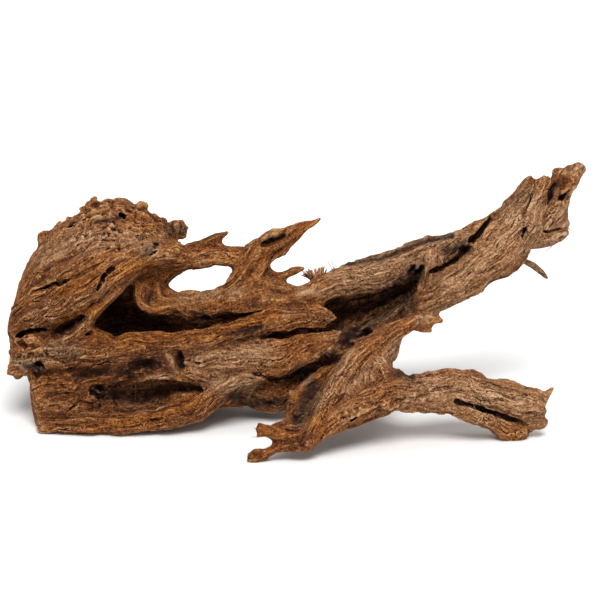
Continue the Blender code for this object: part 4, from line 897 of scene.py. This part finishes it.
def stray(points, far, width, seed):
    """Smooth shifts of the points, about far mm at most."""
    return far * np.stack([even_noise(points, width, seed + axis) for axis in range(3)], axis=1)


def ramp(values, low, high):
    share = np.clip((values - low) / (high - low), 0, 1)
    return share * share * (3 - 2 * share)


def new_object(name, data, place=(0, 0, 0)):
    obj = bpy.data.objects.new(name, data)
    obj.location = place
    bpy.context.scene.collection.objects.link(obj)
    return obj


def mesh_object(name, points, faces):
    data = bpy.data.meshes.new(name)
    data.from_pydata(points, [], faces)
    return new_object(name, data)


def tubes_object(name, tubes):
    """A mesh of closed tubes, all facing out."""
    obj = mesh_object(name, np.concatenate(tubes.points), tubes.faces)
    mesh = bmesh.new()
    mesh.from_mesh(obj.data)
    bmesh.ops.recalc_face_normals(mesh, faces=mesh.faces)
    mesh.to_mesh(obj.data)
    mesh.free()
    return obj


def settle(obj):
    """Replaces an object's mesh with its modified one, and drops its modifiers."""
    bpy.context.view_layer.update()
    graph = bpy.context.evaluated_depsgraph_get()
    obj.data = bpy.data.meshes.new_from_object(obj.evaluated_get(graph))
    obj.modifiers.clear()


def remesh(obj, voxel):
    cells = obj.modifiers.new("fuse", "REMESH")
    cells.mode = "VOXEL"
    cells.voxel_size = voxel * MM
    settle(obj)


def swell(obj, height):
    swelling = obj.modifiers.new("swell", "DISPLACE")
    swelling.mid_level = 0
    swelling.strength = height * MM
    settle(obj)


def soften(obj, voxel):
    remesh(obj, voxel)
    smooth = obj.modifiers.new("soften", "SMOOTH")
    smooth.factor = SOFTEN_SHARE
    smooth.iterations = 1
    settle(obj)


def fuse(obj):
    """Makes one body of the strands, and fills the valleys between them as wood grows over them."""
    remesh(obj, VOXEL)
    swell(obj, FILLET)
    remesh(obj, VOXEL)
    swell(obj, -FILLET)


def take_in(obj, other):
    """Adds another object's mesh to obj's, still loose, and removes that object."""
    mesh = bmesh.new()
    mesh.from_mesh(obj.data)
    mesh.from_mesh(other.data)
    mesh.to_mesh(obj.data)
    mesh.free()
    bpy.data.objects.remove(other)


def hollow_out(obj, cutter):
    cut = obj.modifiers.new("hollow", "BOOLEAN")
    cut.operation = "DIFFERENCE"
    cut.solver = "MANIFOLD"
    cut.object = cutter
    settle(obj)
    bpy.data.objects.remove(cutter)


def columns(items, name, width, kind=float):
    """One property of many mesh items, as an array."""
    values = np.empty(len(items) * width, kind)
    items.foreach_get(name, values)
    return values.reshape(-1, width) if width > 1 else values


def points_of(obj):
    return columns(obj.data.vertices, "co", 3)


def normals_of(obj):
    return columns(obj.data.vertices, "normal", 3)


def edges_of(obj):
    return columns(obj.data.edges, "vertices", 2, int)


def corners_of(obj):
    return columns(obj.data.loops, "vertex_index", 1, int)


def move_to(obj, points):
    obj.data.vertices.foreach_set("co", points.ravel())
    obj.data.update()


def keep_largest(obj):
    """Drops every shell but the largest. The vertices of a shell come to share one label, the lowest."""
    edges = edges_of(obj)
    label = np.arange(len(obj.data.vertices))
    while True:
        ends = label[edges]
        if (ends[:, 0] == ends[:, 1]).all():
            break
        np.minimum.at(label, ends.max(axis=1), ends.min(axis=1))
        while (label[label] != label).any():
            label = label[label]
    largest = np.bincount(label).argmax()
    mesh = bmesh.new()
    mesh.from_mesh(obj.data)
    loose = [v for v, kept in zip(mesh.verts, label == largest) if not kept]
    bmesh.ops.delete(mesh, geom=loose, context="VERTS")
    mesh.to_mesh(obj.data)
    mesh.free()


def line_distance(points, line):
    """The distance of 2D points from a line of joined stretches, and how far along it they are, 0 to 1."""
    line = np.array(line, float)
    lengths = np.linalg.norm(np.diff(line, axis=0), axis=1)
    starts = np.append(0, np.cumsum(lengths))
    best = np.full(len(points), np.inf)
    where = np.zeros(len(points))
    for i, (start, end) in enumerate(zip(line, line[1:])):
        t = np.clip((points - start) @ (end - start) / lengths[i]**2, 0, 1)
        gap = np.linalg.norm(points - start - t[:, None] * (end - start), axis=1)
        nearer = gap < best
        best = np.where(nearer, gap, best)
        where = np.where(nearer, starts[i] + t * lengths[i], where)
    return best, where / starts[-1]


def lines_share(sheet, lines):
    """How strongly one colour's lines show at each point of the sheet."""
    total = np.zeros(len(sheet))
    for line, half in lines:
        total = np.maximum(total, np.exp(-(line_distance(sheet, line)[0] / half)**2))
    return total


def front_share(sheet):
    return ramp(FRONT_DEPTH - sheet[:, 2], 0, FRONT_FADE)


def burl_share(sheet):
    """How knotty the wood is: on the stock's crest, above a slanting line, and at its waist."""
    level, slope, end, level_fade, end_fade = BURL_CREST
    crest = (ramp(level + slope * sheet[:, 0] - sheet[:, 1], 0, level_fade)
             * ramp(end - sheet[:, 0], 0, end_fade))
    end, level, half, end_fade, level_fade = BURL_WAIST
    waist = (ramp(end - sheet[:, 0], 0, end_fade)
             * ramp(half - np.abs(sheet[:, 1] - level), 0, level_fade))
    return np.clip(crest + waist, 0, 1)


def cells(points, seed):
    """Distance to the nearest of random points, about one in each unit cell, and that point's own number."""
    rng = np.random.default_rng(seed)
    order = rng.permutation(NOISE_LOTS)
    spots = rng.uniform(size=(NOISE_LOTS, 3))
    lots = rng.uniform(size=NOISE_LOTS)
    cell = np.floor(points).astype(int)
    best = np.full(len(points), np.inf)
    lot = np.zeros(len(points))
    for step in itertools.product((-1, 0, 1), repeat=3):
        mixed = lots_of(order, cell + step)
        gap = np.linalg.norm(cell + step + spots[mixed] - points, axis=1)
        nearer = gap < best
        best[nearer] = gap[nearer]
        lot[nearer] = lots[mixed][nearer]
    return best, lot


def burls(points, knotty):
    """Round lumps with pits among them, in mm, where the wood is knotty."""
    height = np.zeros(len(points))
    some = np.flatnonzero(knotty > BURL_LEAST)
    warp = stray(points[some], *BURL_WARP, WARP_SEED)
    deep, half, wall = BURL_PIT
    for number, (tall, size) in enumerate(BURL_CELLS):
        gap, lot = cells((points[some] / MM + warp) / size, BURL_SEED + number)
        lump = tall * (1 - (gap / BURL_HALF)**2)
        pit = -deep * tall * ramp(half - gap, 0, wall)
        height[some] += np.where(lot < PIT_SHARE, pit, lump * (LUMP_LEAST + lot)) * knotty[some]
    return height


def swirl(points):
    """How far the grain strays sideways at each point, in mm."""
    return stray(points, *SWIRL, SWIRL_SEED)


def noise_ramp(points, seed, width, low, high):
    return ramp(even_noise(points, width, seed), low, high)


def relief(tubes, rings, points, normals):
    """How far each point stands out or in, in mm: ridges along the grain, flakes, burls and cracks."""
    grain = tubes.grain(rings, points) + swirl(points)
    sheet = on_sheet(points)
    bold = np.clip(tubes.thin[rings] / MM / THIN_WOOD, LEAST_BOLD, 1)
    height = np.zeros(len(points))
    for number, (tall, length, width) in enumerate(RIDGES):
        wave = grain_noise(grain, length, width, RIDGE_SEED + number)
        height += tall * (0.5 - 2 * np.abs(wave)) * bold
    for number, (tall, width) in enumerate(LUMPS):
        height += tall * even_noise(points, width, LUMP_SEED + number) * bold
    for number, (tall, length, width, start) in enumerate(FLAKES):
        wave = grain_noise(grain, length, width, FLAKE_SEED + number)
        height -= tall * ramp(wave, start, start + FLAKE_EDGE) * bold
    deep, length, width, half = SPLITS
    wave = np.abs(grain_noise(grain, length, width, SPLIT_SEED))
    height -= deep * ramp(half - wave, 0, half) * bold * noise_ramp(points, TORN_SEED, *TORN)
    height += burls(points, burl_share(sheet) * noise_ramp(points, KNOT_SEED, *KNOTTY))
    rotten = lines_share(sheet[:, :2], ROTTEN_LINES) * front_share(sheet)
    for number, (tall, width) in enumerate(ROTTEN):
        height += tall * even_noise(points, width, ROTTEN_SEED + number) * rotten
    facing = ramp(-(normals @ SIGHT), *CRACK_FACING)
    for line, half, deep in CRACKS:
        gap, where = line_distance(sheet[:, :2], line)
        taper = np.sqrt(np.clip(4 * where * (1 - where), CRACK_LEAST, 1))
        height -= deep * taper * np.clip(1 - gap / (half * taper), 0, 1) * facing
    return height


def calm_borders(obj, height, owner):
    """Blends the relief where one strand's wood meets the next one's, so that no seam shows there."""
    edges = edges_of(obj)
    border = np.zeros(len(height))
    border[edges[owner[edges[:, 0]] != owner[edges[:, 1]]].ravel()] = 1
    share = np.clip(neighbour_mean(obj, border, BORDER_ROUNDS) * BORDER_ROUNDS, 0, 1)
    return height + share * (neighbour_mean(obj, height, 2 * BORDER_ROUNDS) - height)


def roughen(obj, tubes, tree):
    points = points_of(obj)
    normals = normals_of(obj)
    rings = tubes.nearest_rings(tree, points)
    height = calm_borders(obj, relief(tubes, rings, points, normals), tubes.owner[rings])
    move_to(obj, points + normals * (height * MM)[:, None])
    return rings


def stay_inside(obj, box):
    """Keeps the wood inside the solid's box, and flat where it rests on the ground."""
    move_to(obj, np.clip(points_of(obj), *np.array(box)))


def neighbour_mean(obj, values, rounds):
    """Each vertex's value becomes the mean of its neighbours' values, so many times over."""
    edges = edges_of(obj)
    both = np.concatenate([edges, edges[:, ::-1]])
    size = len(obj.data.vertices)
    near = np.maximum(np.bincount(both[:, 0], minlength=size), 1)
    for _ in range(rounds):
        if values.ndim == 1:
            values = np.bincount(both[:, 0], weights=values[both[:, 1]], minlength=size) / near
        else:
            values = np.stack([np.bincount(both[:, 0], weights=values[both[:, 1], k], minlength=size) / near
                               for k in range(values.shape[1])], axis=1)
    return values


def free_air(obj):
    """What share of a fan of rays from each vertex meets no wood, within the short and the long reach."""
    points = points_of(obj)
    normals = normals_of(obj)
    tree = BVHTree.FromPolygons(points.tolist(), [list(p.vertices) for p in obj.data.polygons])
    fan = unit(np.random.default_rng(AIR_SEED).normal(size=(AIR_RAYS, 3)))
    free = np.zeros((len(AIR_REACHES), len(points)))
    starts = points + normals * AIR_START * MM
    for ray in fan:
        ways = unit(normals * AIR_LEAN + ray)
        gaps = [tree.ray_cast(start, way, AIR_REACHES[-1] * MM)[3] for start, way in zip(starts, ways)]
        gaps = np.nan_to_num(np.array(gaps, float), nan=np.inf)
        free += [gaps > reach * MM for reach in AIR_REACHES]
    return [neighbour_mean(obj, share / AIR_RAYS, rounds) for share, rounds in zip(free, AIR_ROUNDS)]


def describe_surface(obj, tubes, rings):
    """What the material reads: grain coordinates, free air and relief, which also set painted shade, and
    patches of colour and of painted light and shade.
    """
    points = points_of(obj)
    normals = normals_of(obj)
    corners = corners_of(obj).reshape(-1, 4)
    grain = tubes.grain(np.repeat(rings[corners[:, :1]], 4, axis=1), points[corners]) + swirl(points)[corners]
    # Free air over the surface, which the material turns into painted shade in cavities
    near_air, far_air = free_air(obj)
    # How far each point stands out from its neighbours, which the material turns into painted shade in creases
    # and paler ridges
    edge, ridge = (np.einsum("ij,ij->i", points - neighbour_mean(obj, points, rounds), normals) / MM
                   for rounds in (EDGE_ROUNDS, RIDGE_ROUNDS))
    sheet = on_sheet(points)
    orange, grey, pale, painted_shade_and_hair_dark, darker = (
        lines_share(sheet[:, :2], lines) * front_share(sheet)
        for lines in (ORANGE_LINES, GREY_LINES, PALE_AND_PAINTED_LIGHT_LINES, PAINTED_SHADE_LINES, DARKER_LINES))
    return {"grain": grain, "near_air": near_air, "far_air": far_air, "edge": edge, "ridge": ridge,
            "patches": np.stack([orange, grey, pale], axis=1), "painted_shade_and_hair_dark": painted_shade_and_hair_dark, "darker": darker}


def write_layers(obj, layers):
    """Stores what the material reads: the grain for every face's corner, the rest for every vertex."""
    for name, values in layers.items():
        kind, key = ("FLOAT_VECTOR", "vector") if values.shape[-1] == 3 else ("FLOAT", "value")
        layer = obj.data.attributes.new(name, kind, "CORNER" if name == "grain" else "POINT")
        layer.data.foreach_set(key, np.ascontiguousarray(values, float).ravel())


def split_up(obj, layers):
    """Parts the wood into pieces from left to right, which share their border's points and normals."""
    points = points_of(obj)
    normals = normals_of(obj)
    corners = corners_of(obj).reshape(-1, 4)
    order = points[corners[:, 0], 0].argsort(kind="stable")
    bpy.data.objects.remove(obj)
    pieces = []
    for number, faces in enumerate(np.array_split(order, PIECES)):
        used, places = np.unique(corners[faces], return_inverse=True)
        piece = mesh_object(f"driftwood_{number + 1}", points[used], places.reshape(-1, 4).tolist())
        piece.data.shade_smooth()
        piece.data.normals_split_custom_set_from_vertices(normals[used])
        write_layers(piece, {name: values[faces if name == "grain" else used]
                             for name, values in layers.items()})
        pieces.append(piece)
    return pieces


def describe_fibres(obj, laid, points, layers):
    """Gives the fibres the layers of the wood that they lie on, brighter, with grain along each fibre."""
    tree = point_tree(points)
    near = np.array([tree.find(point)[1] for point in points_of(obj)])
    run = np.concatenate(laid.runs)
    number = np.cumsum(run == 0) / laid.style["sides"]
    lengthwise, crosswise = FIBRE_APART
    grain = np.stack([run + number * lengthwise, number * crosswise, number * 0], axis=1)
    found = {name: values[near] for name, values in layers.items() if name != "grain"}
    found["painted_shade_and_hair_dark"] = np.maximum(found["painted_shade_and_hair_dark"], np.concatenate(laid.darks))
    write_layers(obj, {**found, "grain": grain[corners_of(obj)], "edge": np.full(len(near), FIBRE_EDGE)})


def add(tree, kind, inputs=None, **settings):
    """A new shader node. Its inputs are values, or sockets of other nodes to link to."""
    node = tree.nodes.new(kind)
    for key, value in settings.items():
        setattr(node, key, value)
    for key, value in (inputs or {}).items():
        if isinstance(value, bpy.types.NodeSocket):
            tree.links.new(value, node.inputs[key])
        else:
            node.inputs[key].default_value = value
    return node


def maths(tree, operation, first, second=0.0, third=0.0):
    return add(tree, "ShaderNodeMath", {0: first, 1: second, 2: third}, operation=operation).outputs[0]


def blend(tree, share, first, second):
    return add(tree, "ShaderNodeMix", {0: share, 6: first, 7: second}, data_type="RGBA").outputs[2]


def spread(tree, value, low, high, to_low, to_high):
    node = add(tree, "ShaderNodeMapRange", {0: value, 1: low, 2: high, 3: to_low, 4: to_high})
    return node.outputs[0]


def attribute(tree, name, output="Fac"):
    return add(tree, "ShaderNodeAttribute", attribute_name=name).outputs[output]


def noise(tree, where, scale, detail, roughness, distortion):
    """Noise whose features are scale mm long in each direction of where, which is in mm."""
    stretched = add(tree, "ShaderNodeVectorMath", {0: where, 1: [1 / s for s in scale]}, operation="MULTIPLY")
    node = add(tree, "ShaderNodeTexNoise",
               {"Vector": stretched.outputs[0], "Scale": 1.0, "Detail": detail, "Roughness": roughness,
                "Distortion": distortion})
    return node.outputs["Fac"]


def tone_ramp(tree, value, tones):
    node = add(tree, "ShaderNodeValToRGB", {0: value})
    stops = node.color_ramp.elements
    for _ in tones[2:]:
        stops.new(0.5)
    for stop, place, tone in zip(stops, TONE_PLACES, tones):
        stop.position = place
        stop.color = (*tone, 1)
    return node.outputs["Color"]


def wood_material():
    """Driftwood: streaks along the grain, painted shade in cavities, cracks and creases, paler edges and
    ridges, patches of colour and of painted light and shade.
    """
    material = bpy.data.materials.new("driftwood")
    material.use_nodes = True
    tree = material.node_tree
    shader = tree.nodes["Principled BSDF"]
    place = add(tree, "ShaderNodeTexCoord").outputs["Object"]
    place = add(tree, "ShaderNodeVectorMath", {0: place, 1: (1 / MM,) * 3}, operation="MULTIPLY").outputs[0]
    spaces = {"grain": attribute(tree, "grain", "Vector"), "place": place}
    noises = {name: noise(tree, spaces[space], *shape) for name, (space, *shape) in NOISES.items()}

    tone = TONE_MIDDLE
    for name, share in NOISE_SHARES.items():
        tone = maths(tree, "MULTIPLY_ADD", maths(tree, "SUBTRACT", noises[name], 0.5), share, tone)
    # Painted shade in creases and paler edges and ridges, and darker wood along the darker lines
    for layer, share in LAYER_SHARES.items():
        tone = maths(tree, "MULTIPLY_ADD", attribute(tree, layer), share, tone)
    colours = {name: tone_ramp(tree, tone, tones) for name, tones in TONES.items()}
    shade = colours["wood"]
    for name, start, full, most, colour in TINTS:
        shade = blend(tree, spread(tree, noises[name], start, full, 0.0, most), shade, colours[colour])
    # Patches of orange, grey and pale wood; the pale one also paints light on lit tops
    patches = add(tree, "ShaderNodeSeparateXYZ", {0: attribute(tree, "patches", "Vector")})
    for patch, colour in zip(patches.outputs, ("orange", "grey", "pale")):
        shade = blend(tree, patch, shade, colours[colour])
    # Painted shade along its lines, and the hairs' own darker tone, both towards the painted shade tone
    painted_shade_and_hair_dark = maths(tree, "MULTIPLY", attribute(tree, "painted_shade_and_hair_dark"), PAINTED_SHADE_AND_HAIR_SHARE)
    shade = blend(tree, painted_shade_and_hair_dark, shade, (*PAINTED_SHADE_TONE, 1))
    # Painted shade in cavities: the less air is free, the darker
    for layer, start, full, most in PAINTED_CAVITY_SHADE:
        share = spread(tree, attribute(tree, layer), start, full, 0.0, most)
        shade = blend(tree, share, shade, (*PAINTED_SHADE_TONE, 1))
    tree.links.new(shade, shader.inputs["Base Color"])

    tree.links.new(spread(tree, noises["fibres"], *ROUGHNESS), shader.inputs["Roughness"])
    shader.inputs["Specular IOR Level"].default_value = SPECULAR

    height = 0.0
    for name, tall in BUMPS.items():
        height = maths(tree, "MULTIPLY_ADD", noises[name], tall, height)
    bump = add(tree, "ShaderNodeBump", {"Height": height, "Distance": MM, "Strength": 1.0})
    tree.links.new(bump.outputs["Normal"], shader.inputs["Normal"])
    return material


def plain_material(name, tone, roughness):
    material = bpy.data.materials.new(name)
    material.use_nodes = True
    shader = material.node_tree.nodes["Principled BSDF"]
    shader.inputs["Base Color"].default_value = (*tone, 1)
    shader.inputs["Roughness"].default_value = roughness
    return material


def dress(obj, material):
    obj.data.materials.append(material)
    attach(obj, BODY)


def make_wood(tubes, tree):
    obj = tubes_object("driftwood", tubes)
    fuse(obj)
    take_in(obj, tubes_object("veins", Laid("veins", VEINS, tubes, obj)))
    soften(obj, FINE_VOXEL)
    hollow_out(obj, tubes_object("hollows", Tubes([HOLLOWS])))
    soften(obj, FINE_VOXEL)
    keep_largest(obj)
    rings = roughen(obj, tubes, tree)
    stay_inside(obj, CAD_BOX)
    return obj, describe_surface(obj, tubes, rings)


def make_fibres(tubes, wood, layers):
    laid = Laid("fibres", FIBRES, tubes, wood)
    laid.hairs()
    obj = tubes_object("fibres", laid)
    obj.data.shade_smooth()
    stay_inside(obj, CAD_BOX)
    describe_fibres(obj, laid, points_of(wood), layers)
    return obj


def make_root():
    tubes = Tubes(ALL_STRANDS)
    wood, layers = make_wood(tubes, tubes.tree())
    pieces = [make_fibres(tubes, wood, layers), *split_up(wood, layers)]
    material = wood_material()
    for piece in pieces:
        dress(piece, material)
        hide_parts(NODE)


def make_floor():
    bpy.ops.mesh.primitive_plane_add(size=FLOOR_SIDE)
    floor = bpy.context.object
    floor.name = "floor"
    floor.data.materials.append(plain_material("floor", FLOOR_TONE, FLOOR_ROUGHNESS))


def aim(obj, target):
    obj.rotation_euler = (Vector(target) - obj.location).to_track_quat("-Z", "Y").to_euler()


def make_sun(name, place, angle, watts):
    data = bpy.data.lights.new(name, "SUN")
    data.angle = angle
    data.energy = watts
    aim(new_object(name, data, place), LIT_POINT)


def make_light(name, place, side, watts):
    data = bpy.data.lights.new(name, "AREA")
    data.shape = "SQUARE"
    data.size = side
    data.energy = watts
    aim(new_object(name, data, place), LIT_POINT)


def make_camera():
    data = bpy.data.cameras.new("camera")
    data.sensor_width = SENSOR
    data.lens = SENSOR * SIGHT_DISTANCE / (2 * SHEET_CENTRE[0])
    middle = placed(*(np.array([v]) for v in (*SHEET_CENTRE, 0.0)))[0]
    camera = new_object("camera", data, middle - SIGHT * SIGHT_DISTANCE * MM)
    aim(camera, middle)
    bpy.context.scene.camera = camera


def make_studio():
    scene = bpy.context.scene
    scene.view_settings.view_transform = "Standard"
    scene.view_settings.look = "None"
    world = bpy.data.worlds.new("studio")
    world.use_nodes = True
    world.node_tree.nodes["Background"].inputs["Color"].default_value = (1, 1, 1, 1)
    world.node_tree.nodes["Background"].inputs["Strength"].default_value = SKY
    scene.world = world
    make_sun(*SUN)
    for light in LIGHTS:
        make_light(*light)
    make_floor()


make_camera()
make_studio()
make_root()
